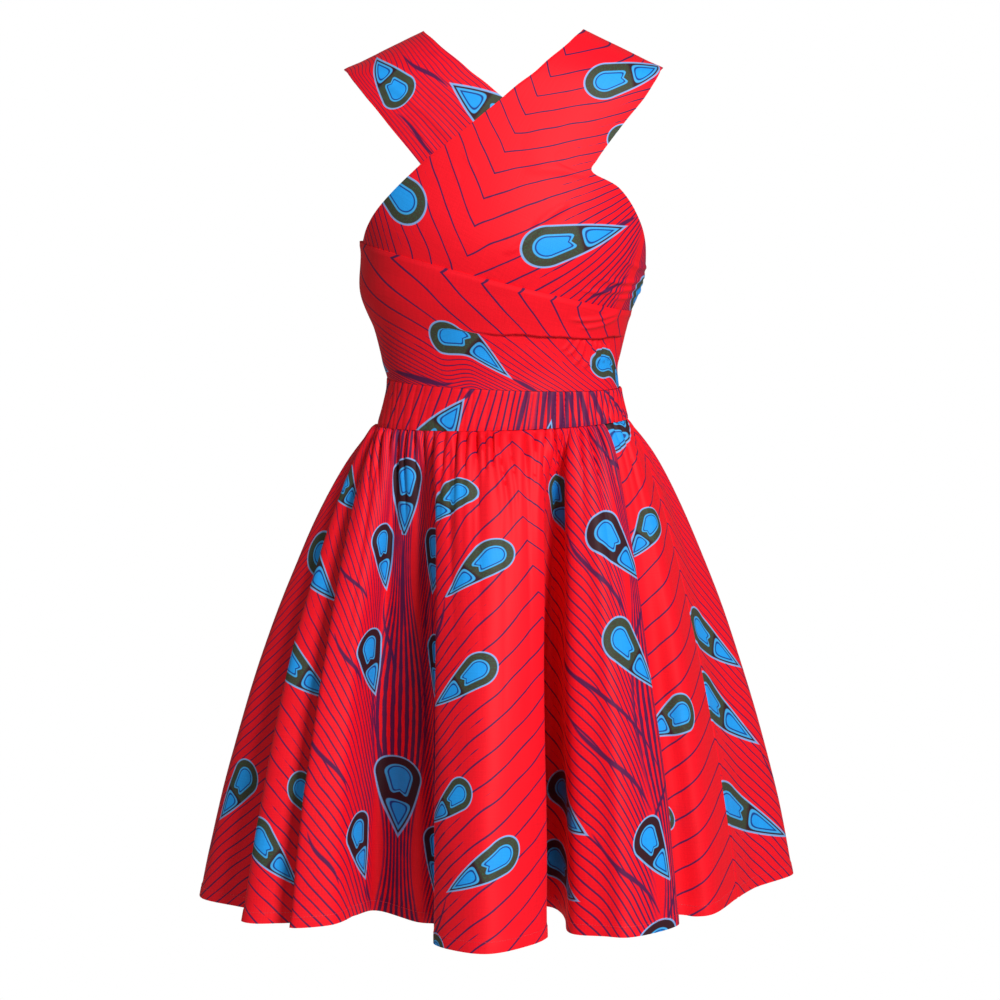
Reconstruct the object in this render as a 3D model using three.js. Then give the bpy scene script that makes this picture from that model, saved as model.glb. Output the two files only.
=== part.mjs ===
// Crossed-strap wrap dress with a gathered skirt, as it hangs on a figure.
// Millimetres, +Z up, the front faces -Y and +X is the wearer's left.
// Heights in the tables are measured up from the seam between waistband and skirt.
// The origin is midway between the tops of the two straps, where the shoulders hold the dress.
import * as THREE from "three";

const clothWall = 1.6;
const layerStep = 2.4;
const seamGap = 0.3;
const shoulderHeight = 433;

// Outline of the figure that the cloth lies on: half width, and depth to the front and to the back.
const figure = [
  { height: -10, halfWidth: 147, front: 101, back: 98 },
  { height: 0, halfWidth: 144, front: 99, back: 96 },
  { height: 28, halfWidth: 136.5, front: 95, back: 90 },
  { height: 51, halfWidth: 132, front: 93, back: 87 },
  { height: 75, halfWidth: 135, front: 95, back: 87 },
  { height: 116, halfWidth: 144.5, front: 103, back: 89 },
  { height: 157, halfWidth: 158, front: 116, back: 94 },
  { height: 205, halfWidth: 162, front: 127, back: 101 },
  { height: 250, halfWidth: 170, front: 123, back: 104 },
  { height: 303, halfWidth: 180, front: 111, back: 103 },
  { height: 350, halfWidth: 193, front: 98, back: 97 },
  { height: 381, halfWidth: 202, front: 87, back: 90 },
  { height: 405, halfWidth: 193, front: 78, back: 81 },
  { height: 420, halfWidth: 162.6, front: 71, back: 72 },
  { height: 440, halfWidth: 121.7, front: 59, back: 58 },
  { height: 455, halfWidth: 91, front: 48, back: 45 },
];

// Edges of the under strap, from its tucked back end, over the shoulder, to its hidden front end.
const underStrap = [
  { face: "back", neckX: 118, neckZ: 132, armX: 22, armZ: 152 },
  { face: "back", neckX: 80, neckZ: 192, armX: -18, armZ: 204 },
  { face: "back", neckX: 40, neckZ: 255, armX: -58, armZ: 255 },
  { face: "back", neckX: -2, neckZ: 320, armX: -97, armZ: 305 },
  { face: "back", neckX: -42, neckZ: 380, armX: -137, armZ: 355 },
  { face: "back", neckX: -66, neckZ: 417, armX: -160, armZ: 386 },
  { face: "back", neckX: -81, neckZ: 440, armX: -174, armZ: 402 },
  { face: "back", neckX: -88.4, neckZ: 451, armX: -179.2, armZ: 408.8 },
  { face: "top", neckX: -91, neckZ: 455, armX: -181, armZ: 411 },
  { face: "front", neckX: -87, neckZ: 451.6, armX: -178, armZ: 407.4 },
  { face: "front", neckX: -77, neckZ: 443.6, armX: -169, armZ: 396.5 },
  { face: "front", neckX: -55, neckZ: 425.7, armX: -152, armZ: 376.5 },
  { face: "front", neckX: -28, neckZ: 403.8, armX: -129, armZ: 349 },
  { face: "front", neckX: 0, neckZ: 381, armX: -106, armZ: 322 },
  { face: "front", neckX: 28, neckZ: 358, armX: -80, armZ: 290 },
  { face: "front", neckX: 58, neckZ: 333, armX: -50, armZ: 254 },
];

// Edges of the over strap and the bust cloth it spreads into. hug is how far a row follows the wrap's edge.
const overStrap = [
  { face: "back", neckX: -125, neckZ: 186, armX: -25, armZ: 162, hug: 0 },
  { face: "back", neckX: -85, neckZ: 236, armX: 14, armZ: 209, hug: 0 },
  { face: "back", neckX: -42, neckZ: 289, armX: 55, armZ: 258, hug: 0 },
  { face: "back", neckX: 1, neckZ: 343, armX: 97, armZ: 309, hug: 0 },
  { face: "back", neckX: 40, neckZ: 391, armX: 135, armZ: 356, hug: 0 },
  { face: "back", neckX: 66, neckZ: 423.5, armX: 160, armZ: 386, hug: 0 },
  { face: "back", neckX: 81, neckZ: 442.5, armX: 174, armZ: 402, hug: 0 },
  { face: "back", neckX: 88.4, neckZ: 451.8, armX: 179.2, armZ: 408.8, hug: 0 },
  { face: "top", neckX: 91, neckZ: 455, armX: 181, armZ: 411, hug: 0 },
  { face: "front", neckX: 87.4, neckZ: 452, armX: 178.6, armZ: 407.4, hug: 0 },
  { face: "front", neckX: 78, neckZ: 444.3, armX: 171.5, armZ: 397, hug: 0 },
  { face: "front", neckX: 56, neckZ: 426.3, armX: 157, armZ: 376.5, hug: 0 },
  { face: "front", neckX: 25, neckZ: 401, armX: 136, armZ: 346, hug: 0 },
  { face: "front", neckX: -12, neckZ: 370.6, armX: 111, armZ: 310, hug: 0 },
  { face: "front", neckX: -52, neckZ: 338, armX: 109, armZ: 294, hug: 0 },
  { face: "front", neckX: -92, neckZ: 306, armX: 134, armZ: 276, hug: 0 },
  { face: "front", neckX: -124, neckZ: 285, armX: 157, armZ: 246, hug: 0.1 },
  { face: "front", neckX: -148, neckZ: 262, armAngle: 80, armZ: 216, hug: 0.25 },
  { face: "front", neckX: -159, neckZ: 243, armAngle: 94, armZ: 199, hug: 0.45 },
  { face: "front", neckX: -162, neckZ: 226, armAngle: 112, armZ: 184, hug: 0.7 },
  { face: "front", neckX: -162, neckZ: 198, armAngle: 130, armZ: 130, hug: 1 },
];

// The wrap's upper edge lies on a tilted plane, high on the wearer's right, and two layers stand under it.
const wrapEdge = { centre: 174, rise: 40, tuckedUnder: 14 };
const wrapLayers = 2 * layerStep;
// The tuck is a step in the wrap, full within one angle of its centre and gone beyond another.
const wrapTuck = { height: 117, fall: 10, stepHeight: 5, centreAngle: 55, fullWithin: 45, goneBeyond: 75 };
const waistband = { top: 49, topTilt: 5, bottom: 4, bottomTilt: -4 };

// How finely each piece is divided along and across.
const divisions = {
  strapStepsPerRow: 2,
  underStrapColumns: 6,
  overStrapColumns: 14,
  ringColumns: 48,
  wrapRows: 9,
  waistbandRows: 2,
  skirtStepsPerFold: 3,
};

// How far the skirt has opened from the waist to the hem at each drop below the waist seam.
const skirtFlare = [
  { drop: 0, open: 0 },
  { drop: 22, open: 0.09 },
  { drop: 49, open: 0.185 },
  { drop: 90, open: 0.295 },
  { drop: 140, open: 0.405 },
  { drop: 209, open: 0.54 },
  { drop: 290, open: 0.675 },
  { drop: 375, open: 0.8 },
  { drop: 470, open: 0.915 },
  { drop: 565, open: 1 },
];

// Each ridge and trough of the skirt: its angle at the waist and its place at the hem.
const skirtFolds = [
  { name: "left seam", waist: -104, across: -350, forward: -64 },
  { name: "left ridge", waist: -97, across: -357, forward: 4 },
  { name: "far left pleat inside", waist: -92, across: -288, forward: 66 },
  { name: "far left pleat edge", waist: -89, across: -302, forward: 92 },
  { name: "left pleat inside", waist: -83, across: -225, forward: 134 },
  { name: "left pleat edge", waist: -79, across: -242, forward: 160 },
  { name: "left roll", waist: -67, across: -197, forward: 157 },
  { name: "left trough", waist: -53, across: -142, forward: 84 },
  { name: "panel inside", waist: -34, across: -61, forward: 184 },
  { name: "panel left edge", waist: -30, across: -75, forward: 223 },
  { name: "panel ridge", waist: -8, across: -18, forward: 274 },
  { name: "panel right edge", waist: 18, across: 48, forward: 214 },
  { name: "panel right inside", waist: 21, across: 43, forward: 172 },
  { name: "right trough", waist: 27, across: 78, forward: 130 },
  { name: "right roll", waist: 40, across: 136, forward: 208 },
  { name: "right roll edge", waist: 51, across: 198, forward: 147 },
  { name: "right roll inside", waist: 54, across: 190, forward: 112 },
  { name: "side roll", waist: 70, across: 237, forward: 98 },
  { name: "right seam", waist: 90, across: 276, forward: 32 },
  { name: "right dip", waist: 98, across: 300, forward: -18 },
  { name: "right ridge", waist: 107, across: 351, forward: -98 },
  { name: "back dip 1", waist: 116, across: 288, forward: -140 },
  { name: "back roll 1", waist: 127, across: 262, forward: -206 },
  { name: "back trough 1", waist: 138, across: 172, forward: -156 },
  { name: "back roll 2", waist: 150, across: 142, forward: -248 },
  { name: "back trough 2", waist: 161, across: 72, forward: -176 },
  { name: "back roll 3", waist: 172, across: 30, forward: -274 },
  { name: "back trough 3", waist: 184, across: -46, forward: -186 },
  { name: "back roll 4", waist: 195, across: -106, forward: -260 },
  { name: "back trough 4", waist: 206, across: -150, forward: -158 },
  { name: "back roll 5", waist: 219, across: -240, forward: -212 },
  { name: "back trough 5", waist: 231, across: -258, forward: -126 },
  { name: "back roll 6", waist: 245, across: -328, forward: -126 },
];
const rightSeam = skirtFolds.findIndex((fold) => fold.name === "right seam");

const radians = THREE.MathUtils.degToRad;
const degrees = THREE.MathUtils.radToDeg;
const mix = THREE.MathUtils.lerp;
const smoothstep = THREE.MathUtils.smoothstep;

// Smooth curve through a column of a table, read at a value of another column.
function readTable(rows, key, column, at) {
  const last = rows.length - 1;
  const value = THREE.MathUtils.clamp(at, rows[0][key], rows[last][key]);
  let i = 0;
  while (i < last - 1 && rows[i + 1][key] < value) i += 1;
  const slope = (a, b) => (rows[b][column] - rows[a][column]) / (rows[b][key] - rows[a][key]);
  const step = rows[i + 1][key] - rows[i][key];
  const startSlope = i > 0 ? slope(i - 1, i + 1) : slope(i, i + 1);
  const endSlope = i + 2 <= last ? slope(i, i + 2) : slope(i, i + 1);
  const t = (value - rows[i][key]) / step;
  const startWeight = (1 + 2 * t) * (1 - t) ** 2;
  const endWeight = t * t * (3 - 2 * t);
  const startPull = startSlope * step * t * (1 - t) ** 2;
  const endPull = endSlope * step * t * t * (t - 1);
  return rows[i][column] * startWeight + rows[i + 1][column] * endWeight + startPull + endPull;
}

const halfWidthAt = (height) => readTable(figure, "height", "halfWidth", height);

// Point on the figure: angle 0 is the middle of the front, 90 the wearer's left side.
function figurePoint(angle, height) {
  const turn = radians(angle);
  const facing = Math.cos(turn);
  const depth = readTable(figure, "height", facing > 0 ? "front" : "back", height);
  return new THREE.Vector3(halfWidthAt(height) * Math.sin(turn), -depth * facing, height);
}

// Angle round the figure of a point known by its sideways place and height.
function angleOf(x, height, face, side) {
  const front = degrees(Math.asin(THREE.MathUtils.clamp(x / halfWidthAt(height), -1, 1)));
  if (face === "top") return side * 90;
  return face === "front" ? front : side * 180 - front;
}

// Closed wall between a grid of points and the same grid moved out. lift gives the inner face's offset,
// and level keeps the first and last rows flat where they meet a seam.
function clothWallMesh(grid, { ring = false, level = false, lift = () => 0 }) {
  const rows = grid.length;
  const columns = grid[0].length;
  const near = (r, c) => {
    const column = ring ? (c + columns) % columns : THREE.MathUtils.clamp(c, 0, columns - 1);
    return grid[THREE.MathUtils.clamp(r, 0, rows - 1)][column];
  };
  const positions = [];
  for (const face of [0, 1]) {
    for (let r = 0; r < rows; r += 1) {
      for (let c = 0; c < columns; c += 1) {
        const along = new THREE.Vector3().subVectors(near(r, c + 1), near(r, c - 1));
        const down = new THREE.Vector3().subVectors(near(r + 1, c), near(r - 1, c));
        const out = down.cross(along);
        if (level && (r === 0 || r === rows - 1)) out.z = 0;
        out.normalize();
        const point = near(r, c).clone().addScaledVector(out, lift(r, c) + face * clothWall);
        positions.push(point.x, point.y, point.z - shoulderHeight);
      }
    }
  }
  const id = (face, r, c) => (face * rows + r) * columns + (ring ? c % columns : c);
  const triangles = [];
  const quad = (a, b, c, d) => triangles.push(a, c, b, a, d, c);
  const lastColumn = ring ? columns : columns - 1;
  for (let c = 0; c < lastColumn; c += 1) {
    for (let r = 0; r + 1 < rows; r += 1) {
      quad(id(1, r, c), id(1, r, c + 1), id(1, r + 1, c + 1), id(1, r + 1, c));
      quad(id(0, r, c), id(0, r + 1, c), id(0, r + 1, c + 1), id(0, r, c + 1));
    }
    quad(id(1, 0, c), id(0, 0, c), id(0, 0, c + 1), id(1, 0, c + 1));
    quad(id(1, rows - 1, c), id(1, rows - 1, c + 1), id(0, rows - 1, c + 1), id(0, rows - 1, c));
  }
  for (let r = 0; !ring && r + 1 < rows; r += 1) {
    quad(id(1, r, 0), id(1, r + 1, 0), id(0, r + 1, 0), id(0, r, 0));
    quad(id(1, r, columns - 1), id(0, r, columns - 1), id(0, r + 1, columns - 1), id(1, r + 1, columns - 1));
  }
  const geometry = new THREE.BufferGeometry();
  geometry.setAttribute("position", new THREE.Float32BufferAttribute(positions, 3));
  geometry.setIndex(triangles);
  geometry.computeVertexNormals();
  return geometry;
}

const wrapTopAt = (angle) => wrapEdge.centre - wrapEdge.rise * Math.sin(radians(angle));
const bandTopAt = (angle) => waistband.top - waistband.topTilt * Math.sin(radians(angle));
const bandBottomAt = (angle) => waistband.bottom - waistband.bottomTilt * Math.sin(radians(angle));

// Rows of points across a strap, between its neck edge and its arm edge, laid on the figure.
function strapGrid(table, side, stepsPerRow, columns) {
  const edge = (row, name) => {
    const height = row[`${name}Z`];
    const angle = row[`${name}Angle`] ?? angleOf(row[`${name}X`], height, row.face, side);
    return new THREE.Vector3(angle, height, row.hug ?? 0);
  };
  const neckEdge = new THREE.CatmullRomCurve3(table.map((row) => edge(row, "neck")));
  const armEdge = new THREE.CatmullRomCurve3(table.map((row) => edge(row, "arm")));
  const count = (table.length - 1) * stepsPerRow;
  const grid = [];
  for (let r = 0; r <= count; r += 1) {
    const neck = neckEdge.getPoint(r / count);
    const arm = armEdge.getPoint(r / count);
    const points = [];
    for (let c = 0; c <= columns; c += 1) {
      const share = side > 0 ? c / columns : 1 - c / columns;
      const angle = mix(neck.x, arm.x, share);
      const tucked = wrapTopAt(angle) - wrapEdge.tuckedUnder;
      points.push(figurePoint(angle, mix(mix(neck.y, arm.y, share), tucked, neck.z)));
    }
    grid.push(points);
  }
  return grid;
}

// Rows of points round the figure between a lower and an upper edge, top row first.
function bandGrid(topAt, bottomAt, rows, columns) {
  const grid = [];
  for (let r = 0; r <= rows; r += 1) {
    const points = [];
    for (let c = 0; c < columns; c += 1) {
      const angle = (360 * c) / columns;
      points.push(figurePoint(angle, mix(topAt(angle), bottomAt(angle), r / rows)));
    }
    grid.push(points);
  }
  return grid;
}

// Columns of the skirt between two seams: a point on the waist and a point on the hem for each.
function skirtGrid(firstFold, lastFold, stepsPerFold) {
  const hemLine = new THREE.CatmullRomCurve3(
    skirtFolds.map((fold) => new THREE.Vector3(fold.across, -fold.forward, 0)),
    true,
  );
  const foldCount = skirtFolds.length;
  const waistAngle = (index) => skirtFolds[index % foldCount].waist + (index >= foldCount ? 360 : 0);
  const grid = skirtFlare.map(() => []);
  for (let fold = firstFold; fold < lastFold; fold += 1) {
    for (let step = 0; step <= stepsPerFold; step += 1) {
      if (step === stepsPerFold && fold + 1 < lastFold) continue;
      const share = step / stepsPerFold;
      const hem = hemLine.getPoint(((fold + share) / foldCount) % 1);
      const angle = mix(waistAngle(fold), waistAngle(fold + 1), share);
      const seamHeight = bandBottomAt(angle) - seamGap;
      const waist = figurePoint(angle, seamHeight);
      skirtFlare.forEach((section, r) => {
        const point = new THREE.Vector3().lerpVectors(waist, hem, section.open);
        grid[r].push(point.setZ(seamHeight - section.drop));
      });
    }
  }
  return grid;
}

// Brings the two side edges of a panel in by half a seam gap each.
function openSeams(grid) {
  for (const row of grid) {
    const last = row.length - 1;
    const edges = [[0, 1], [last, last - 1]];
    for (const [edge, next] of edges) {
      const inwards = new THREE.Vector3().subVectors(row[next], row[edge]).normalize();
      row[edge].addScaledVector(inwards, seamGap);
    }
  }
  return grid;
}

// The tuck stands out over the lower wrap at the front left, and eases away to the other side.
function wrapLift(grid) {
  return (r, c) => {
    const height = grid[r][c].z;
    const angle = (360 * c) / grid[0].length;
    const tuckHeight = wrapTuck.height - wrapTuck.fall * Math.sin(radians(angle));
    const fullHeight = wrapTopAt(angle) - 2 * wrapEdge.tuckedUnder;
    const eased = smoothstep(height, bandTopAt(angle), fullHeight);
    const stepped = smoothstep(height, tuckHeight - wrapTuck.stepHeight, tuckHeight);
    const turn = Math.abs(angle - wrapTuck.centreAngle);
    const away = Math.min(turn, 360 - turn);
    const tucked = 1 - smoothstep(away, wrapTuck.fullWithin, wrapTuck.goneBeyond);
    return wrapLayers * mix(eased, stepped, tucked);
  };
}

const dress = new THREE.Group();
const printRed = 0xf51c2e;

function addPiece(name, grid, options = {}) {
  const material = new THREE.MeshStandardMaterial({ color: printRed, roughness: 0.7, metalness: 0 });
  const mesh = new THREE.Mesh(clothWallMesh(grid, options), material);
  mesh.name = name;
  dress.add(mesh);
}

const { strapStepsPerRow, ringColumns, skirtStepsPerFold } = divisions;
const underStrapGrid = strapGrid(underStrap, -1, strapStepsPerRow, divisions.underStrapColumns);
const overStrapGrid = strapGrid(overStrap, 1, strapStepsPerRow, divisions.overStrapColumns);
const aboveBand = (angle) => bandTopAt(angle) + seamGap;
const wrapGrid = bandGrid(wrapTopAt, aboveBand, divisions.wrapRows, ringColumns);
const waistbandGrid = bandGrid(bandTopAt, bandBottomAt, divisions.waistbandRows, ringColumns);
const frontGrid = openSeams(skirtGrid(0, rightSeam, skirtStepsPerFold));
const backGrid = openSeams(skirtGrid(rightSeam, skirtFolds.length, skirtStepsPerFold));

addPiece("strap_under", underStrapGrid);
addPiece("strap_over_bust", overStrapGrid, { lift: () => layerStep });
addPiece("midriff_wrap", wrapGrid, { ring: true, level: true, lift: wrapLift(wrapGrid) });
addPiece("waistband", waistbandGrid, { ring: true, level: true });
addPiece("skirt_front", frontGrid, { level: true });
addPiece("skirt_back", backGrid, { level: true });

export default dress;
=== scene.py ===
"""Crossed-strap wrap dress with a gathered skirt, sewn from one waxed cotton print.

The tables are in millimetres. Heights are measured up from the seam between waistband and skirt,
the front faces -Y and +X is the wearer's left. The finished meshes are in metres.
"""
import math

import bpy
import numpy as np
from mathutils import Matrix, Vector


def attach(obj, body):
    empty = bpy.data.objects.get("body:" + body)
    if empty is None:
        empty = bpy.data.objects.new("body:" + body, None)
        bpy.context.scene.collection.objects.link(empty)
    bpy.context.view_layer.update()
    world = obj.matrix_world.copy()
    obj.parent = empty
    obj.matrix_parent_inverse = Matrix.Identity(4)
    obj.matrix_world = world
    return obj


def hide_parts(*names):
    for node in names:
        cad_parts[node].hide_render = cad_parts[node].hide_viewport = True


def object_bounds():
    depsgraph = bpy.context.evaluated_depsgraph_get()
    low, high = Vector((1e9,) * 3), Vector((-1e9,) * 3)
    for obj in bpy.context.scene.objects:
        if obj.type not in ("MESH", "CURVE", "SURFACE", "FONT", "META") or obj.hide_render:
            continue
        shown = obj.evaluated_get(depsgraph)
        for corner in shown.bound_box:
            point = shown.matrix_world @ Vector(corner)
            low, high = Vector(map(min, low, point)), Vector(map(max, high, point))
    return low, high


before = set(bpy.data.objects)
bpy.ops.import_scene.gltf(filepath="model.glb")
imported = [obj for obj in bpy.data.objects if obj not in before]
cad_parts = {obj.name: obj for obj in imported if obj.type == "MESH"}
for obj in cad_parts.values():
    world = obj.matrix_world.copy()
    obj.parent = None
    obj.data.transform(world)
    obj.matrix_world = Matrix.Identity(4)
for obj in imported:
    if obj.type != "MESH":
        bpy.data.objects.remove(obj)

bl_info = {
    "name": "Crossed-strap wrap dress",
    "version": (1, 0, 0),
    "blender": (4, 5, 0),
    "location": "View3D > Sidebar > Dress",
    "description": "Builds a worn wrap dress with crossed straps, a waistband and a gathered skirt",
    "category": "Add Mesh",
}

CAD_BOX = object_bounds()
MILLIMETRE = 0.001
# The frame's origin is where the shoulders hold the dress, this high above the skirt's seam.
SHOULDER_HEIGHT = 433.0
# Layers of cloth stand this far apart, seams are open by this much, and cloth lies this far off.
LAYER_STEP = 2.4
SEAM_GAP = 0.3
CLOTH_INSET = 0.2
HEM_DEPTH = 12.0

# Stitches, in metres.
STITCH_SIZES = {"Step": 0.0034, "Stitch length": 0.0026, "Thread radius": 0.00032}
PLIES_PER_METRE = 900.0

# Outline of the figure that the cloth lies on: height, half width, depth to the front and to the back,
# and how far its middle stands off to the wearer's left.
FIGURE = np.array([
    (-10, 147, 101, 98, 0),
    (0, 144, 99, 96, 0),
    (28, 136.5, 95, 90, 0),
    (51, 133, 93, 87, 0),
    (75, 135, 95, 87, -4),
    (116, 143, 103, 89, -5),
    (157, 158, 116, 94, -3),
    (205, 163, 127, 101, 3.5),
    (250, 171, 123, 104, 0),
    (303, 180, 111, 103, 0),
    (350, 193, 98, 97, 0),
    (381, 202, 87, 90, 0),
    (405, 193, 78, 81, 0),
    (420, 162.6, 71, 72, 0),
    (440, 121.7, 59, 58, 0),
    (455, 91, 48, 45, 0),
])

# Edges of the straps: face, sideways place and height of the neck edge and of the arm edge, and how far
# the row follows the wrap's upper edge.
UNDER_STRAP = (
    ("back", 118, 132, 22, 152, 0),
    ("back", 80, 192, -18, 204, 0),
    ("back", 40, 255, -58, 255, 0),
    ("back", -2, 320, -97, 305, 0),
    ("back", -42, 380, -137, 355, 0),
    ("back", -66, 417, -160, 386, 0),
    ("back", -81, 440, -174, 402, 0),
    ("back", -88.4, 451, -179.2, 408.8, 0),
    ("top", -91, 455, -181, 411, 0),
    ("front", -87, 451.6, -178, 407.4, 0),
    ("front", -77, 443.6, -169, 396.5, 0),
    ("front", -55, 425.7, -152, 376.5, 0),
    ("front", -28, 403.8, -129, 349, 0),
    ("front", 0, 381, -106, 322, 0),
    ("front", 28, 358, -80, 290, 0),
    ("front", 58, 333, -50, 254, 0),
)

# The over strap and the bust cloth it spreads into. The last rows give the arm edge as an angle round
# the figure.
OVER_STRAP = (
    ("back", -125, 186, -25, 162, 0),
    ("back", -85, 236, 14, 209, 0),
    ("back", -42, 289, 55, 258, 0),
    ("back", 1, 343, 97, 309, 0),
    ("back", 40, 391, 135, 356, 0),
    ("back", 66, 423.5, 160, 386, 0),
    ("back", 81, 442.5, 174, 402, 0),
    ("back", 88.4, 451.8, 179.2, 408.8, 0),
    ("top", 91, 455, 181, 411, 0),
    ("front", 87.4, 452, 178.6, 407.4, 0),
    ("front", 78, 444.3, 171.5, 397, 0),
    ("front", 56, 426.3, 157, 376.5, 0),
    ("front", 25, 401, 131.5, 346, 0),
    ("front", -12, 370.6, 105.5, 311, 0),
    ("front", -52, 338, 99.5, 298, 0),
    ("front", -92, 306, 133, 276, 0),
    ("front", -124, 285, 157, 246, 0.1),
    ("front", -150, 262, "80", 216, 0.25),
    ("front", -163, 243, "94", 199, 0.45),
    ("front", -166, 226, "112", 184, 0.7),
    ("front", -166, 198, "130", 130, 1),
)

# Cloth is tucked this far under the wrap's upper edge.
WRAP_TUCKED_UNDER = 14
# The tuck's height, how thick its edge is, its fall to the wearer's left, and the angles where it lies.
TUCK_HEIGHT = 117
TUCK_EDGE = 2.2
TUCK_FALL = 10
TUCK_ANGLE = 55
TUCK_FULL_WITHIN = 45
TUCK_GONE_BEYOND = 75
TUCK_ENDS = (66, 86)
# How much print the tuck hides, and the angles between which it starts to.
TUCK_HIDES = 21
TUCK_HIDES_FROM = (-31, -12)

# How far the skirt has opened from waist to hem at each drop below the seam.
SKIRT_FLARE = np.array([
    (0, 0), (22, 0.09), (49, 0.185), (90, 0.295), (140, 0.405),
    (209, 0.537), (290, 0.669), (375, 0.792), (470, 0.909), (565, 1),
])
SKIRT_DROP = 565.0

# Each ridge and trough of the skirt: angle at the waist, place across and forward at the hem.
SKIRT_FOLDS = (
    ("left seam", -104, -350, -64),
    ("left ridge", -97, -357, 4),
    ("far left pleat inside", -92, -288, 66),
    ("far left pleat edge", -89, -302, 92),
    ("left pleat inside", -83, -225, 134),
    ("left pleat edge", -79, -242, 160),
    ("left roll", -67, -197, 157),
    ("left trough", -53, -142, 84),
    ("panel inside", -34, -61, 184),
    ("panel left edge", -30, -75, 223),
    ("panel ridge", -8, -18, 274),
    ("panel right edge", 18, 48, 214),
    ("panel right inside", 21, 43, 172),
    ("right trough", 27, 78, 130),
    ("right roll", 40, 136, 208),
    ("right roll edge", 51, 198, 147),
    ("right roll inside", 54, 190, 112),
    ("side roll", 70, 237, 98),
    ("right seam", 90, 276, 32),
    ("right dip", 98, 300, -18),
    ("right ridge", 107, 349, -98),
    ("back dip 1", 116, 288, -140),
    ("back roll 1", 127, 262, -206),
    ("back trough 1", 138, 172, -156),
    ("back roll 2", 150, 142, -248),
    ("back trough 2", 161, 72, -176),
    ("back roll 3", 172, 30, -274),
    ("back trough 3", 184, -46, -186),
    ("back roll 4", 195, -106, -260),
    ("back trough 4", 206, -150, -158),
    ("back roll 5", 219, -240, -212),
    ("back trough 5", 231, -258, -126),
    ("back roll 6", 245, -328, -126),
)
RIGHT_SEAM = [fold[0] for fold in SKIRT_FOLDS].index("right seam")

# The print's repeat is mirrored at its spine and again at the ridge half a repeat away.
REPEAT_WIDTH = 580.0
RIDGE = REPEAT_WIDTH / 2
REPEAT_HEIGHT = 357.0
LINE_SPACING = REPEAT_HEIGHT / 12

# Eyes of one half repeat, across from the spine and up. An eye's turn is how far its round end leans
# to the wearer's left of straight up, and brown is 1 where the whole rim is brown.
# Across, up, turn, length, width, brown.
REPEAT_EYES = (
    (0, 0, 0, 92, 58, 1),
    (58, -70, 8, 80, 38, 1),
    (56, 162, 8, 80, 38, 1),
    (196, -80, 58, 100, 43, 0),
    (170, 4, 58, 90, 41, 0),
    (182, 152, 60, 98, 43, 0),
)

# Where the print's spines and ridges meet the hem of the front: from the left seam, and in the print.
FRONT_SPINES = ((0, -487), (195, -290), (477, 0), (810, 290), (1092, 580), (1128, 785), (1258, 870))
BACK_SPINES = ((0, -290), (1392, 1102))

# Eyes of the front, from its left seam and down from its waist, then turn, length, width and brown.
FRONT_EYES = (
    (485, 83, 3, 98, 46, 1),
    (648, 91, 38, 66, 33, 0),
    (696, 169, 45, 88, 36, 0),
    (676, 298, 54, 97, 38, 0),
    (658, 437, 54, 85, 38, 0),
    (706, 508, 62, 118, 41, 0),
    (636, 626, 10, 80, 40, 0),
    (479, 451, 2, 99, 86, 1),
    (426, 158, -17, 84, 50, 1),
    (416, 289, -21, 86, 62, 1),
    (413, 516, -22, 90, 60, 1),
    (578, 160, 11, 80, 54, 1),
    (573, 287, 13, 76, 62, 1),
    (551, 521, 9, 80, 66, 1),
    (218, 88, -62, 84, 44, 0),
    (185, 186, -60, 130, 50, 0),
    (222, 308, -65, 128, 44, 0),
    (273, 459, -50, 100, 38, 0),
    (225, 521, -52, 115, 44, 0),
    (94, 467, 30, 84, 52, 0),
    (907, 96, -19, 80, 36, 0),
    (1051, 152, -39, 102, 54, 1),
    (1055, 279, -42, 112, 54, 0),
    (936, 458, -55, 84, 52, 1),
    (926, 545, -69, 84, 50, 1),
    (1060, 508, -34, 88, 60, 1),
    (1056, 632, -10, 90, 80, 1),
    (1164, 141, 41, 70, 40, 0),
    (1158, 365, 66, 84, 48, 0),
    (1124, 492, 51, 64, 36, 0),
    (1172, 9, 29, 76, 46, 1),
)
BACK_EYES = (
    (66, 295, -52, 140, 50, 0),
    (46, 380, -52, 170, 54, 0),
    (58, 510, -62, 186, 52, 0),
)
# Stems of the front from the eyes that lean to the wearer's right: from, to and half width.
FRONT_STEMS = (
    (1021, 8, 1130, 83, 3.2),
    (948, 124, 1051, 239, 3.6),
    (911, 228, 1085, 420, 3.3),
    (951, 340, 1060, 463, 4.1),
    (972, 479, 1060, 583, 4.0),
    (303, 362, 376, 445, 3.4),
    (325, 487, 370, 554, 3.4),
    (325, 253, 398, 323, 3.4),
    (308, 170, 384, 212, 3.0),
    (445, 198, 462, 320, 2.4),
    (435, 329, 455, 450, 2.6),
    (430, 558, 440, 600, 2.6),
)
# Where the plain repeat starts on the back, how far its eyes may reach past an edge, and the print's
# level at the waist.
BACK_REPEAT_FROM = 170
EYE_MARGIN = 60
PRINT_LEVEL = 447

# ----- Curves and the figure -----

def mix(a, b, share):
    return a + (b - a) * share


def ease(value, low, high):
    """Smooth step from 0 at low to 1 at high."""
    t = np.clip((value - low) / (high - low), 0, 1)
    return t * t * (3 - 2 * t)


def bump(value, middle, reach):
    """Smooth hill of height 1 at the middle, mostly gone at one and a half times its reach."""
    return np.exp(-((value - middle) / reach) ** 2)


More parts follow.
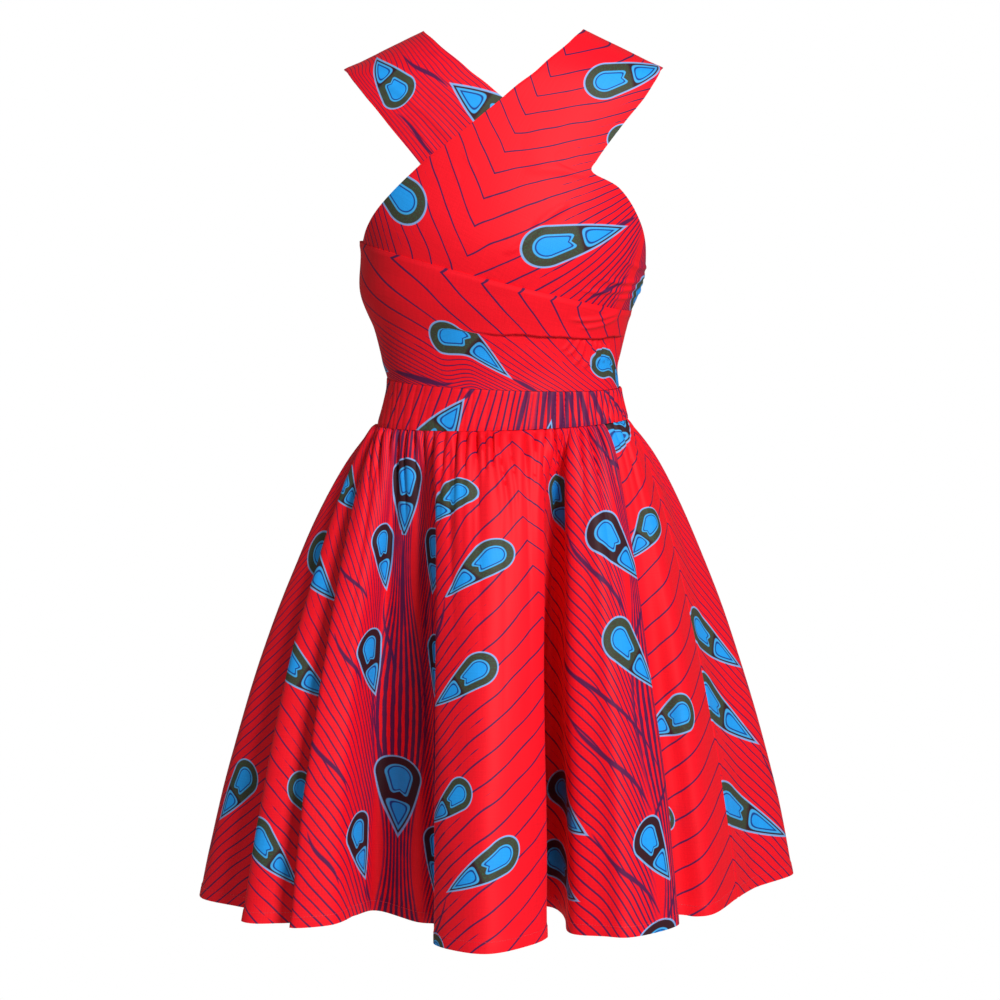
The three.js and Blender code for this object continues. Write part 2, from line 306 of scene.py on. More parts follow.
def smooth_column(table, column, at):
    """Cubic curve through a column of a table, with slopes taken from the neighbouring rows."""
    keys, values = table[:, 0], table[:, column]
    last = len(keys) - 1
    rows = np.arange(last + 1)
    above = np.minimum(rows + 1, last)
    below = np.maximum(rows - 1, 0)
    slopes = (values[above] - values[below]) / (keys[above] - keys[below])
    at = np.clip(at, keys[0], keys[-1])
    i = np.clip(np.searchsorted(keys, at, side="right") - 1, 0, last - 1)
    step = keys[i + 1] - keys[i]
    t = (at - keys[i]) / step
    start = values[i] * (1 + 2 * t) * (1 - t) ** 2 + slopes[i] * step * t * (1 - t) ** 2
    end = values[i + 1] * t * t * (3 - 2 * t) + slopes[i + 1] * step * t * t * (t - 1)
    return start + end


def curve_through(points, at, closed=False):
    """Centripetal curve through points, read at fractional row numbers."""
    points = np.asarray(points, float)
    count = len(points)
    if closed:
        i = np.floor(at).astype(int)
        near = [points[(i + k) % count] for k in (-1, 0, 1, 2)]
    else:
        i = np.clip(np.floor(at).astype(int), 0, count - 2)
        longer = np.vstack((2 * points[0] - points[1], points, 2 * points[-1] - points[-2]))
        near = [longer[i + k] for k in range(4)]
    t = (at - i)[:, None]
    p0, p1, p2, p3 = near
    gaps = [np.sqrt(np.linalg.norm(b - a, axis=1, keepdims=True)) for a, b in zip(near, near[1:])]
    gaps[1] = np.maximum(gaps[1], 1e-4)
    d0, d1, d2 = [np.where(gap < 1e-4, gaps[1], gap) for gap in gaps]
    leave = ((p1 - p0) / d0 - (p2 - p0) / (d0 + d1) + (p2 - p1) / d1) * d1
    arrive = ((p2 - p1) / d1 - (p3 - p1) / (d1 + d2) + (p3 - p2) / d2) * d1
    square = -3 * p1 + 3 * p2 - 2 * leave - arrive
    cube = 2 * p1 - 2 * p2 + leave + arrive
    return p1 + leave * t + square * t ** 2 + cube * t ** 3


def half_width(height):
    return smooth_column(FIGURE, 1, height)


def depth(height, facing):
    """Depth of the figure, to the front where facing is positive and to the back elsewhere."""
    return np.where(facing > 0, smooth_column(FIGURE, 2, height), smooth_column(FIGURE, 3, height))


def figure_points(angle, height):
    """Points on the figure: angle 0 is the middle of the front, 90 the wearer's left side."""
    angle, height = np.broadcast_arrays(angle, height)
    turn = np.radians(angle)
    facing = np.cos(turn)
    across = half_width(height) * np.sin(turn) + smooth_column(FIGURE, 4, height)
    return np.stack((across, -depth(height, facing) * facing, height), axis=-1)


def arc_from_front(angle, height):
    """Length round the figure from the middle of the front, at one height."""
    shares = (np.arange(24) + 0.5) / 24
    turns = np.radians(angle)[..., None] * shares
    level = np.broadcast_to(np.asarray(height, float)[..., None], turns.shape)
    speed = np.hypot(half_width(level) * np.cos(turns), depth(level, np.cos(turns)) * np.sin(turns))
    return np.radians(angle) * speed.mean(axis=-1)


def figure_places(angle, height):
    """Flat places on the figure: length round it from the middle of the front, and height."""
    return np.stack((arc_from_front(angle, height), height), axis=-1)


def tilted_edge(middle, fall):
    """Height of an edge round the figure, which falls by this much to the wearer's left side."""
    return lambda angle: middle - fall * np.sin(np.radians(angle))


wrap_top = tilted_edge(174, 40)
band_top = tilted_edge(49, 5)
band_bottom = tilted_edge(4, -4)

# ----- Creases and gathers -----

def soft_noise(u, v, seed):
    """Smooth noise from -1 to 1 with one bump about every unit."""
    lattice = np.random.default_rng(seed).uniform(-1, 1, (64, 64))
    iu, iv = np.floor(u).astype(int), np.floor(v).astype(int)
    fu, fv = [f ** 3 * (f * (6 * f - 15) + 10) for f in (u - iu, v - iv)]
    corners = [lattice[(iu + a) % 64, (iv + b) % 64] for a, b in ((0, 0), (1, 0), (0, 1), (1, 1))]
    return mix(mix(corners[0], corners[1], fu), mix(corners[2], corners[3], fu), fv)


def gathers(place, drop, spacing, seed):
    """Uneven gathers: round ridges about spacing apart with sharp creases between, which wander and fade."""
    wander = 0.55 * soft_noise(place / (2.3 * spacing), drop / (9 * spacing), seed)
    wave = 2 * np.abs(np.sin(np.pi * (place / spacing + wander))) ** 0.55 - 1
    swell = 0.62 + 0.38 * soft_noise(place / (1.7 * spacing), drop / (6 * spacing), seed + 1)
    return swell * wave


def crease(places, strokes):
    """Height of a set of creases drawn as bowed strokes: from, to, bow, half width and depth."""
    height = np.zeros(places.shape[:-1])
    for x0, z0, x1, z1, bow, width, rise in strokes:
        length = math.hypot(x1 - x0, z1 - z0)
        along = np.array((x1 - x0, z1 - z0)) / length
        moved = places - (x0, z0)
        share = moved @ along / length
        side = moved @ (-along[1], along[0]) - bow * 4 * share * (1 - share)
        taper = np.clip(np.minimum(share + 0.12, 1.12 - share) / 0.3, 0, 1)
        height += rise * taper ** 2 * (3 - 2 * taper) * bump(side, 0, width)
    return height


# ----- Cloth meshes -----

def outward(grid, ring, level):
    """Unit normals of a grid of points whose rows go down and whose columns go to the wearer's left."""
    if ring:
        along = np.roll(grid, -1, axis=1) - np.roll(grid, 1, axis=1)
    else:
        along = np.gradient(grid, axis=1)
    out = np.cross(np.gradient(grid, axis=0), along)
    if level:
        out[[0, -1], :, 2] = 0
    return out / np.maximum(np.linalg.norm(out, axis=2, keepdims=True), 1e-9)


# What a row of a table of marks may leave out: kind, draw-in and swing.
PLAIN_MARK = (0, 1, 0)
OFF_ALL_MARKS = 9.0
# Share of its width by which an eye's reach narrows towards its point.
POINT_NARROWS = 0.6


def mark_places(spots, marks, core, size):
    """Places on the nearest mark of a table for the corners of each face, and the kind of that mark.

    The first column of the result runs across the mark and the second from its low end, -0.5, to its
    top, 0.5. A row's draw-in is how far the cloth is gathered in sideways where the mark lies, so that
    the mark keeps its width there. Its swing is how far a long mark goes from side to side. A mark
    bends to the side that its top leans to."""
    middles = spots.mean(axis=1)
    best = np.full(len(middles), np.inf)
    places = np.full_like(spots, OFF_ALL_MARKS)
    kinds = np.zeros(len(middles))

    def offsets(points, centre, axis, cross, length, swing):
        along = (points - centre) @ axis / length
        return (points - centre) @ cross - swing * np.sin(2 * np.pi * np.clip(along, -0.5, 0.5)), along

    for mark in marks:
        across, up, turn, length, width, kind, drawn_in, swing = (*mark, *PLAIN_MARK[len(mark) - 5:])
        sine, cosine = math.sin(math.radians(turn)), math.cos(math.radians(turn))
        axis = np.array((sine * drawn_in, cosine))
        cross = np.array((cosine * drawn_in, -sine)) * (-1 if turn < 0 else 1)
        laid = ((across, up), axis, cross, length, swing)
        side, along = offsets(middles, *laid)
        narrowed = width * (1 - POINT_NARROWS * np.clip(-2 * along, 0, 1))
        reach = np.hypot(side, np.maximum(np.abs(along) - core, 0) * length) / narrowed
        nearer = reach < best
        best[nearer] = reach[nearer]
        side, along = offsets(spots[nearer], *laid)
        places[nearer] = np.stack((side * size / width, along), axis=-1)
        kinds[nearer] = kind
    return places, kinds


def stem_between(start, end, half_wide, drawn_in, swing):
    """Row of a table of marks for a stem from its upper end to its lower end."""
    across, fall = (end[0] - start[0]) * drawn_in, start[1] - end[1]
    length = math.hypot(across, fall)
    middle = ((start[0] + end[0]) / 2, (start[1] + end[1]) / 2)
    turn = math.degrees(math.atan2(-across, fall))
    return (*middle, turn, length, half_wide, 0, drawn_in, swing * length)


# Stems that start at the points of eyes: how far they fall, their half width and swing, how far
# they go to the side, and what share of the way to the spine they may go.
STEM_FALL = 130
STEM_HALF_WIDTH = 2.9
STEM_SWING = 0.04
STEM_REACH = 72
STRAIGHT_STEM_REACH = 14
STEM_SPINE_SHARE = 0.85
# An eye that turns less than this and has a brown rim stands beside the spine.
UPRIGHT_EYE = 30


def stems_below(eyes, spines, steepest):
    """Stems from the points of eyes down to the nearest spine. Eyes beside it have straight ones.

    Eyes that lean further than steepest to the wearer's right have none here."""
    stems = []
    for across, up, turn, length, _, brown, drawn_in, _ in eyes:
        if turn < steepest:
            continue
        angle = math.radians(turn)
        beside = brown and abs(turn) < UPRIGHT_EYE
        reach = STRAIGHT_STEM_REACH if beside else STEM_REACH
        point = (across - math.sin(angle) * length / 2 / drawn_in, up - math.cos(angle) * length / 2)
        place = np.interp(point[0], *zip(*spines))
        to_spine = round(place / REPEAT_WIDTH) * REPEAT_WIDTH - place
        shift = max(-reach, min(reach, STEM_SPINE_SHARE * to_spine))
        end = (point[0] + shift, point[1] - STEM_FALL)
        stems.append(stem_between(point, end, STEM_HALF_WIDTH, drawn_in, 0 if beside else STEM_SWING))
    return stems


def repeated_eyes(width, length):
    """Eyes of the plain repeat on a panel, from its left seam and down from its waist."""
    eyes = []
    for column in range(-1, math.ceil(width / REPEAT_WIDTH) + 1):
        for row in range(-2, math.ceil(length / REPEAT_HEIGHT) + 1):
            for across, up, turn, *sizes in REPEAT_EYES:
                for side in ((1, -1) if across else (1,)):
                    place = column * REPEAT_WIDTH + RIDGE + side * across
                    drop = PRINT_LEVEL + row * REPEAT_HEIGHT - up
                    if place > BACK_REPEAT_FROM and -EYE_MARGIN < drop < length + EYE_MARGIN:
                        eyes.append((place, drop, side * turn, *sizes))
    return eyes


def new_object(name, mesh):
    thing = bpy.data.objects.new(name, mesh)
    bpy.context.collection.objects.link(thing)
    return thing


def to_frame(points):
    """Points in metres from the frame's origin, from points in millimetres."""
    return (points - (0, 0, SHOULDER_HEIGHT)) * MILLIMETRE


def cloth_mesh(name, grid, lift, thickness, lines, spots, eyes, stems, ring=False, level=True):
    """Closed thin shell of cloth on a grid, with the print's places laid on it, and its outer face.

    lines and spots place the print's lines and its eyes and stems on the grid. The last column of a
    ring's grid repeats its first, so that the print runs on across the place where the ring closes."""
    if ring:
        grid, lift = grid[:, :-1], lift[:, :-1]
    rows, columns = grid.shape[:2]
    steps = columns if ring else columns - 1
    out = outward(grid, ring, level)
    inner = grid + out * lift[..., None]
    outer = grid + out * (lift + thickness)[..., None]
    points = to_frame(np.concatenate((outer.reshape(-1, 3), inner.reshape(-1, 3))))

    def faces(*corners):
        """Row, column and side of each corner of a run of faces."""
        spread = [np.stack(np.broadcast_arrays(*corner), axis=-1).reshape(-1, 3) for corner in corners]
        return np.stack(spread, axis=1)

    r, c = np.meshgrid(np.arange(rows - 1), np.arange(steps), indexing="ij")
    parts = [
        faces((r, c, 0), (r + 1, c, 0), (r + 1, c + 1, 0), (r, c + 1, 0)),
        faces((r, c, 1), (r, c + 1, 1), (r + 1, c + 1, 1), (r + 1, c, 1)),
    ]
    r, c = np.arange(rows - 1), np.arange(steps)
    parts.append(faces((0, c, 0), (0, c + 1, 0), (0, c + 1, 1), (0, c, 1)))
    end = rows - 1
    parts.append(faces((end, c, 0), (end, c, 1), (end, c + 1, 1), (end, c + 1, 0)))
    if not ring:
        parts.append(faces((r, 0, 0), (r, 0, 1), (r + 1, 0, 1), (r + 1, 0, 0)))
        end = columns - 1
        parts.append(faces((r, end, 0), (r + 1, end, 0), (r + 1, end, 1), (r, end, 1)))
    r, c, side = np.moveaxis(np.concatenate(parts), -1, 0)
    index = (side * rows + r) * columns + c % columns

    mesh = bpy.data.meshes.new(name)
    mesh.vertices.add(len(points))
    mesh.vertices.foreach_set("co", points.ravel())
    mesh.loops.add(index.size)
    mesh.loops.foreach_set("vertex_index", index.ravel())
    mesh.polygons.add(len(index))
    mesh.polygons.foreach_set("loop_start", np.arange(0, index.size, 4))
    mesh.polygons.foreach_set("use_smooth", np.ones(len(index), bool))
    mesh.update(calc_edges=True)

    corners = spots[r, c]
    eye_places, brown_rims = mark_places(corners, eyes, core=0.27, size=0.46)
    stem_places, _ = mark_places(corners, stems, core=0.5, size=1)
    for layer, places in (
        ("print_lines", lines[r, c] * MILLIMETRE),
        ("print_eyes", eye_places),
        ("print_stems", stem_places),
    ):
        mesh.uv_layers.new(name=layer).data.foreach_set("uv", places.ravel())
    mesh.attributes.new("brown_rim", "FLOAT", "FACE").data.foreach_set("value", brown_rims)

    mesh.validate()
    mesh.set_sharp_from_angle(angle=math.radians(70))
    mesh.materials.append(printed_cotton())
    return new_object(name, mesh), outer


def finish_piece(piece, nodes):
    """Attaches a cloth panel to the root body and hides the CAD parts that it stands for."""
    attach(piece, "root")
    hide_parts(*nodes)


# ----- Nodes and materials -----

def linear(hex_colour):
    """Linear red, green, blue and alpha of an sRGB colour written as #rrggbb."""
    parts = [int(hex_colour[i:i + 2], 16) / 255 for i in (1, 3, 5)]
    return (*[p / 12.92 if p <= 0.04045 else ((p + 0.055) / 1.055) ** 2.4 for p in parts], 1)


def add(tree, kind, links=(), settings=(), values=()):
    """Adds one node: settings are its properties, values its sockets, links what feeds them."""
    node = tree.nodes.new(kind)
    for key, value in settings:
        setattr(node, key, value)
    for socket, value in values:
        node.inputs[socket].default_value = value
    for socket, source in links:
        tree.links.new(source, node.inputs[socket])
    return node


def one_by_one(steps):
    """Steps of a sum in the order they are worked out: one inside another comes before it."""
    for result, operation, *inputs in steps:
        for place, value in enumerate(inputs):
            if isinstance(value, tuple):
                inputs[place] = f"{result} {place}"
                yield from one_by_one([(inputs[place], *value)])
        yield result, operation, inputs


def new_material(name):
    """An empty material with nodes, and its tree."""
    material = bpy.data.materials.new(name)
    material.use_nodes = True
    material.node_tree.nodes.clear()
    return material, material.node_tree


# Sharpness of an edge of the print: how fast a line or an eye's shape goes from clear to full.
LINE_EDGE = 2.6
STEM_EDGE = 1.6
EYE_EDGE = 150.0
# Barbs rise from the spine as BARB_PULL times the logarithm of their distance, and by BARB_SLOPE.
BARB_PULL = 100.0
BARB_SLOPE = 0.35
STEM_SPACING = 12.0

# An eye is drawn in its own lengths: its point is at -0.5 and its round end at 0.5.
EYE_ROUND = 0.23
EYE_NECK = 1 - EYE_ROUND
EYE_SLANT = EYE_ROUND / EYE_NECK
EYE_FLAT = math.sqrt(1 - EYE_SLANT ** 2)

# The print, worked out from noise, from its places across and up, and from places on eyes and stems.
# Each step is a result, an operation and its inputs: numbers, earlier results or steps of their own. An
# operation that ends in ! is clamped to 0..1.
PRINT_STEPS = (
    ("wander", "SUBTRACT", "wander_raw", 0.5),
    ("grain", "SUBTRACT", "grain_raw", 0.5),
    ("threads", "ADD", "warp", "weft"),
    ("shade", "MULTIPLY_ADD", "threads", 0.16, 0.84),
    ("weave", "MULTIPLY", "threads", 0.5),
    ("specks", "MULTIPLY_ADD!", "speck", 9.0, -4.68),
    # distance from the nearest spine
    ("side", "PINGPONG", "across", RIDGE),
    ("near", "MAXIMUM", "side", 4.0),
    # distance from the nearest barb in spacings, and their true spacing where they are steep
    ("climb", "MULTIPLY_ADD", "near", BARB_SLOPE, ("MULTIPLY", ("LOGARITHM", "near", math.e), BARB_PULL)),
    ("level", "MULTIPLY_ADD", "wander", 9.0, ("SUBTRACT", "up", "climb")),
    ("away", "PINGPONG", ("DIVIDE", "level", LINE_SPACING), 0.5),
    ("slope", "ADD", ("DIVIDE", BARB_PULL, "near"), BARB_SLOPE),
    ("spacing", "DIVIDE", LINE_SPACING, ("SQRT", ("MULTIPLY_ADD", "slope", "slope", 1.0))),
    # main barbs, thicker beside the spine
    ("swell", "EXPONENT", ("DIVIDE", "side", -45.0)),
    ("half", "MULTIPLY_ADD", "grain", 0.6, ("MULTIPLY_ADD", "swell", 1.2, 1.15)),
    ("main", "MULTIPLY!", ("SUBTRACT", "half", ("MULTIPLY", "away", "spacing")), LINE_EDGE),
    # short barbs half way between them, which fade out towards the ridge
    ("usual_reach", "MULTIPLY_ADD", ("LESS_THAN", "across", 0.0), 90.0, 205.0),
    ("reach", "MULTIPLY_ADD", "grain", 140.0, "usual_reach"),
    ("short_share", "DIVIDE!", ("SUBTRACT", "reach", "side"), 55.0),
    ("short_half", "MULTIPLY_ADD", ("MULTIPLY", "short_share", "half"), 0.9, -0.05),
    ("short_gap", "MULTIPLY", ("SUBTRACT", 0.5, "away"), "spacing"),
    ("short", "MULTIPLY!", ("SUBTRACT", "short_half", "short_gap"), LINE_EDGE),
    # barbs fade in 36 to 48 mm from the spine
    ("clear", "MULTIPLY_ADD!", "side", 1 / 12, -3.0),
    ("barbs", "MULTIPLY", ("MAXIMUM", "main", "short"), "clear"),
    # thick stems that run up the spine, fan out between the eyes and fade out 46 to 54 mm from it
    ("pulse", "COSINE", ("MULTIPLY", ("ADD", "up", 75.0), 2 * math.pi / REPEAT_HEIGHT)),
    ("spread", "DIVIDE", "side", ("MULTIPLY_ADD", "pulse", -0.32, 0.72)),
    ("stem_gap", "PINGPONG", ("MULTIPLY_ADD", "wander", 3.0, "spread"), STEM_SPACING / 2),
    ("stem_depth", "SUBTRACT", ("MULTIPLY_ADD", "grain", 4.0, 3.7), "stem_gap"),
    ("stem_share", "MULTIPLY_ADD!", "spread", -1 / 8, 54 / 8),
    ("stems", "MULTIPLY", ("MULTIPLY!", "stem_depth", STEM_EDGE), "stem_share"),
    ("lines", "MAXIMUM", "barbs", "stems"),
    # distance outside an eye, which is a round end and a cone with a slight belly
    ("wide", "ABSOLUTE", "x"),
    ("to_point", "SUBTRACT", 0.5 - EYE_ROUND, "y"),
    ("run", "MULTIPLY_ADD", "to_point", EYE_FLAT, ("MULTIPLY", "wide", -EYE_SLANT)),
    ("radius", "SQRT", ("MULTIPLY_ADD", "to_point", "to_point", ("MULTIPLY", "wide", "wide"))),
    ("round", "SUBTRACT", "radius", EYE_ROUND),
    ("cone", "MULTIPLY_ADD", "to_point", EYE_SLANT, ("MULTIPLY_ADD", "wide", EYE_FLAT, -EYE_ROUND)),
    ("run_turn", "MULTIPLY", ("DIVIDE!", "run", EYE_FLAT * EYE_NECK), math.pi),
    ("full_cone", "MULTIPLY_ADD", ("SINE", "run_turn"), -0.02, "cone"),
    ("on_cone", "GREATER_THAN", "run", 0.0),
    ("edge", "MULTIPLY_ADD", ("SUBTRACT", "full_cone", "round"), "on_cone", "round"),
    # the big pane with its notched lower edge, and the small pane towards the point
    ("notch", "MULTIPLY_ADD", ("MULTIPLY_ADD!", "wide", -1 / 0.055, 1.0), 0.04, 0.02),
    ("big", "SMOOTH_MAX", ("ADD", "edge", 0.095), ("SUBTRACT", "notch", "y"), 0.05),
    ("small", "SMOOTH_MAX", ("ADD", "edge", 0.026), ("ADD", "y", 0.045), 0.13),
    ("panes", "MINIMUM", "big", "small"),
    # each layer of an eye, so far inside its edge or the panes' edge
    ("outline", "MULTIPLY!", ("SUBTRACT", 0.010, "edge"), EYE_EDGE),
    ("rim", "MULTIPLY!", ("SUBTRACT", -0.009, "edge"), EYE_EDGE),
    ("pane", "MULTIPLY!", "panes", -EYE_EDGE),
    ("ink", "MULTIPLY!", ("SUBTRACT", -0.02, "panes"), EYE_EDGE),
    ("fill", "MULTIPLY!", ("SUBTRACT", -0.034, "panes"), EYE_EDGE),
    # the brown part of the rim, round the small pane
    ("brown", "MAXIMUM", ("MULTIPLY!", ("SUBTRACT", -0.01, "y"), 30.0), "brown_rim"),
    # a long stem, measured in its own half width across and in its own length along
    ("stem_shape", "MULTIPLY_ADD", ("COSINE", ("MULTIPLY", "stem_y", math.pi)), 0.7, 0.3),
    ("stem_rough", "MULTIPLY_ADD", "grain", 0.3, "stem_shape"),
    ("stem_mark", "MULTIPLY!", ("SUBTRACT", "stem_rough", ("ABSOLUTE", "stem_x")), 2.5),
    ("stem_end", "MULTIPLY_ADD!", ("ABSOLUTE", "stem_y"), -25.0, 12.5),
    ("eye_stem", "MULTIPLY", "stem_mark", "stem_end"),
)


def printed_cotton():
    """Wax-printed cotton poplin: a close plain weave with a hard, slightly waxy face.

    The print gives the eye saturated flat colours with hand-cut edges; the weave gives it a dry
    grain and faint slubs, and the wax a low, broad shine."""
    name = "wax_printed_cotton"
    if name in bpy.data.materials:
        return bpy.data.materials[name]
    colours = bpy.context.scene.dress_print
    material, tree = new_material(name)

    place, eye, stem = [
        add(tree, "ShaderNodeUVMap", settings=(("uv_map", layer),)).outputs[0]
        for layer in ("print_lines", "print_eyes", "print_stems")
    ]
    rim_kind = add(tree, "ShaderNodeAttribute", settings=(("attribute_name", "brown_rim"),))
    in_mm = add(tree, "ShaderNodeVectorMath", [(0, place)], [("operation", "SCALE")], [("Scale", 1000.0)])
    known = {"brown_rim": rim_kind.outputs["Fac"]}
    places = (in_mm.outputs[0], "across", "up"), (eye, "x", "y"), (stem, "stem_x", "stem_y")
    for source, across, up in places:
        split = add(tree, "ShaderNodeSeparateXYZ", [(0, source)])
        known[across], known[up] = split.outputs[:2]

    # Noise: bumps for each metre, detail and stretch. The slubs of warp and weft are about 1.6 mm wide
    # and 32 mm long, wider than the threads of 0.4 mm, so that they show from where the dress is seen.
    for result, scale, detail, stretch in (
        ("wander_raw", 16.0, 1.0, (1, 1, 1)),
        ("grain_raw", 60.0, 2.0, (1, 1, 1)),
        ("warp", 620.0, 1.0, (1, 0.05, 1)),
        ("weft", 620.0, 1.0, (0.05, 1, 1)),
        ("speck", 520.0, 1.0, (1, 1, 1)),
        ("cloud", 9.0, 2.0, (1, 1, 1)),
    ):
        spread = add(tree, "ShaderNodeMapping", [("Vector", place)], values=[("Scale", stretch)]).outputs[0]
        values = [("Scale", scale), ("Detail", detail)]
        known[result] = add(tree, "ShaderNodeTexNoise", [("Vector", spread)], values=values).outputs[0]
    for result, operation, inputs in one_by_one(PRINT_STEPS):
        links = [(i, known[v]) for i, v in enumerate(inputs) if isinstance(v, str)]
        values = [(i, v) for i, v in enumerate(inputs) if not isinstance(v, str)]
        settings = (("operation", operation.rstrip("!")), ("use_clamp", operation.endswith("!")))
        known[result] = add(tree, "ShaderNodeMath", links, settings, values).outputs[0]

    # Each layer of the print: result, share of the upper colour, lower and upper colour.
    for result, share, lower, upper in (
        ("red", "cloud", colours.ground_deep, colours.ground),
        ("outlines", "cloud", colours.outline_blue, colours.outline_pale),
        ("olives", "specks", colours.olive, colours.olive_green),
        ("rims", "brown", "olives", colours.brown),
        ("cloth", "lines", "red", colours.plum),
        ("cloth", "eye_stem", "cloth", colours.plum),
        ("cloth", "outline", "cloth", "outlines"),
        ("cloth", "rim", "cloth", "rims"),
        ("cloth", "pane", "cloth", colours.pane_edge),
        ("cloth", "ink", "cloth", colours.ink),
        ("cloth", "fill", "cloth", colours.azure),
    ):
        links = [(0, known[share])] + [(i, known[v]) for i, v in ((6, lower), (7, upper)) if v in known]
        values = [(i, linear(v)) for i, v in ((6, lower), (7, upper)) if v not in known]
        known[result] = add(tree, "ShaderNodeMix", links, (("data_type", "RGBA"),), values).outputs[2]
    dyed = [(0, known["cloth"]), ("Scale", known["shade"])]
    shaded = add(tree, "ShaderNodeVectorMath", dyed, [("operation", "SCALE")])

    relief = [("Strength", 0.35), ("Distance", 0.0006)]
    bumps = add(tree, "ShaderNodeBump", [("Height", known["weave"])], values=relief)
    finish = [
        ("Roughness", 0.62), ("IOR", 1.47), ("Specular IOR Level", 0.22), ("Sheen Weight", 0.02),
        ("Sheen Roughness", 0.45),
    ]
    feeds = [("Base Color", shaded.outputs[0]), ("Normal", bumps.outputs[0])]
    surface = add(tree, "ShaderNodeBsdfPrincipled", feeds, values=finish)
    add(tree, "ShaderNodeOutputMaterial", [("Surface", surface.outputs[0])])
    return material


def polyester_thread():
    """Spun polyester thread: its two plies give each stitch a slanted ridge and a soft, silky shine."""
    material, tree = new_material("polyester_thread")
    place = add(tree, "ShaderNodeTexCoord").outputs["Object"]
    twist = [("Scale", PLIES_PER_METRE), ("Distortion", 0.6)]
    wave = add(tree, "ShaderNodeTexWave", [("Vector", place)], [("bands_direction", "DIAGONAL")], twist)
    plies = wave.outputs["Fac"]
    # The thread's red goes darker in the grooves between its plies and lighter on their ridges, following
    # the wave that gives the relief: painted shade and painted highlight over its red dye.
    shades = [(6, linear("#A80C1E")), (7, linear("#E2233A"))]
    dye_with_ply_shading = add(tree, "ShaderNodeMix", [(0, plies)], [("data_type", "RGBA")], shades).outputs[2]
    relief = [("Strength", 0.5), ("Distance", 0.0001)]
    bumps = add(tree, "ShaderNodeBump", [("Height", plies)], values=relief).outputs[0]
    finish = [("Roughness", 0.4), ("IOR", 1.55), ("Specular IOR Level", 0.5), ("Sheen Weight", 0.1)]
    surface = add(tree, "ShaderNodeBsdfPrincipled", [("Base Color", dye_with_ply_shading), ("Normal", bumps)], values=finish)
    add(tree, "ShaderNodeOutputMaterial", [("Surface", surface.outputs[0])])
    return material


def matt_white_paint():
    """Matt white emulsion: even and without shine."""
    material, tree = new_material("matt_white_paint")
    finish = [("Base Color", linear("#F4F4F4")), ("Roughness", 0.9), ("Specular IOR Level", 0.0)]
    surface = add(tree, "ShaderNodeBsdfPrincipled", values=finish)
    add(tree, "ShaderNodeOutputMaterial", [("Surface", surface.outputs[0])])
    return material


# ----- Stitches -----

def stitch_tree():
    """Geometry nodes that lay a stitch at even steps along the edges of a mesh."""
    tree = bpy.data.node_groups.new("lay_stitches", "GeometryNodeTree")
    sockets = tree.interface
    sockets.new_socket("Geometry", in_out="INPUT", socket_type="NodeSocketGeometry")
    for name in STITCH_SIZES:
        sockets.new_socket(name, in_out="INPUT", socket_type="NodeSocketFloat")
    sockets.new_socket("Geometry", in_out="OUTPUT", socket_type="NodeSocketGeometry")
    given = add(tree, "NodeGroupInput").outputs
    line = add(tree, "GeometryNodeMeshToCurve", [("Mesh", given["Geometry"])])
    steps = [("Curve", line.outputs[0]), ("Length", given["Step"])]
    beats = add(tree, "GeometryNodeResampleCurve", steps, [("mode", "LENGTH")])
    ahead = add(tree, "GeometryNodeInputTangent").outputs[0]
    turn = add(tree, "FunctionNodeAlignRotationToVector", [("Vector", ahead)], [("axis", "Z")])
    ball = [("Segments", 8), ("Rings", 5), ("Radius", 1.0)]
    bead = add(tree, "GeometryNodeMeshUVSphere", values=ball)
    length = [(0, given["Stitch length"])]
    half = add(tree, "ShaderNodeMath", length, [("operation", "MULTIPLY")], [(1, 0.5)])
    radius = given["Thread radius"]
    size = add(tree, "ShaderNodeCombineXYZ", [(0, radius), (1, radius), (2, half.outputs[0])])
    laid = [
        ("Points", beats.outputs[0]), ("Instance", bead.outputs["Mesh"]),
        ("Rotation", turn.outputs[0]), ("Scale", size.outputs[0]),
    ]
    made = add(tree, "GeometryNodeInstanceOnPoints", laid)
    for kind, values in (
        ("GeometryNodeRealizeInstances", ()),
        ("GeometryNodeSetShadeSmooth", ()),
        ("GeometryNodeSetMaterial", [("Material", polyester_thread())]),
    ):
        made = add(tree, kind, [("Geometry", made.outputs[0])], values=values)
    add(tree, "NodeGroupOutput", [("Geometry", made.outputs[0])])
    return tree


def stitch_row(name, path):
    """A row of stitches along a path of points in millimetres."""
    mesh = bpy.data.meshes.new(name)
    mesh.from_pydata(to_frame(path).tolist(), [(i, i + 1) for i in range(len(path) - 1)], [])
    row = new_object(name, mesh)
    modifier = row.modifiers.new("stitches", "NODES")
    modifier.node_group = bpy.data.node_groups.get("lay_stitches") or stitch_tree()
    for socket in modifier.node_group.interface.items_tree:
        if socket.name in STITCH_SIZES:
            modifier[socket.identifier] = STITCH_SIZES[socket.name]
    graph = bpy.context.evaluated_depsgraph_get()
    stitched = bpy.data.meshes.new_from_object(row.evaluated_get(graph), depsgraph=graph)
    row.modifiers.clear()
    row.data = stitched
    stitched.name = name
    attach(row, "root")
    return row


# ----- Sizes and colours that can be set -----

def length_property(name, description, metres):
    """A length that can be set, in metres."""
    return bpy.props.FloatProperty(name=name, description=description, default=metres, unit="LENGTH")


def number_property(name, description, default, unit="NONE"):
    """A number that can be set."""
    return bpy.props.FloatProperty(name=name, description=description, default=default, unit=unit)


def colour_property(name, description, default):
    """A colour that can be set, as #rrggbb."""
    return bpy.props.StringProperty(name=name, description=description, default=default)


class DressCloth(bpy.types.PropertyGroup):
    """Sizes of the sewn cloth."""
    thickness: length_property("Cloth thickness", "Thickness of one layer as it shows at an edge", 0.001)
    gather_spacing: length_property("Gather spacing", "Distance between gathers at the waist seam", 0.0115)
    gather_depth: length_property("Gather depth", "Depth of the small gathers below the waist seam", 0.0068)
    ruche_depth: length_property("Ruche depth", "Depth of the gathers across the waistband", 0.003)


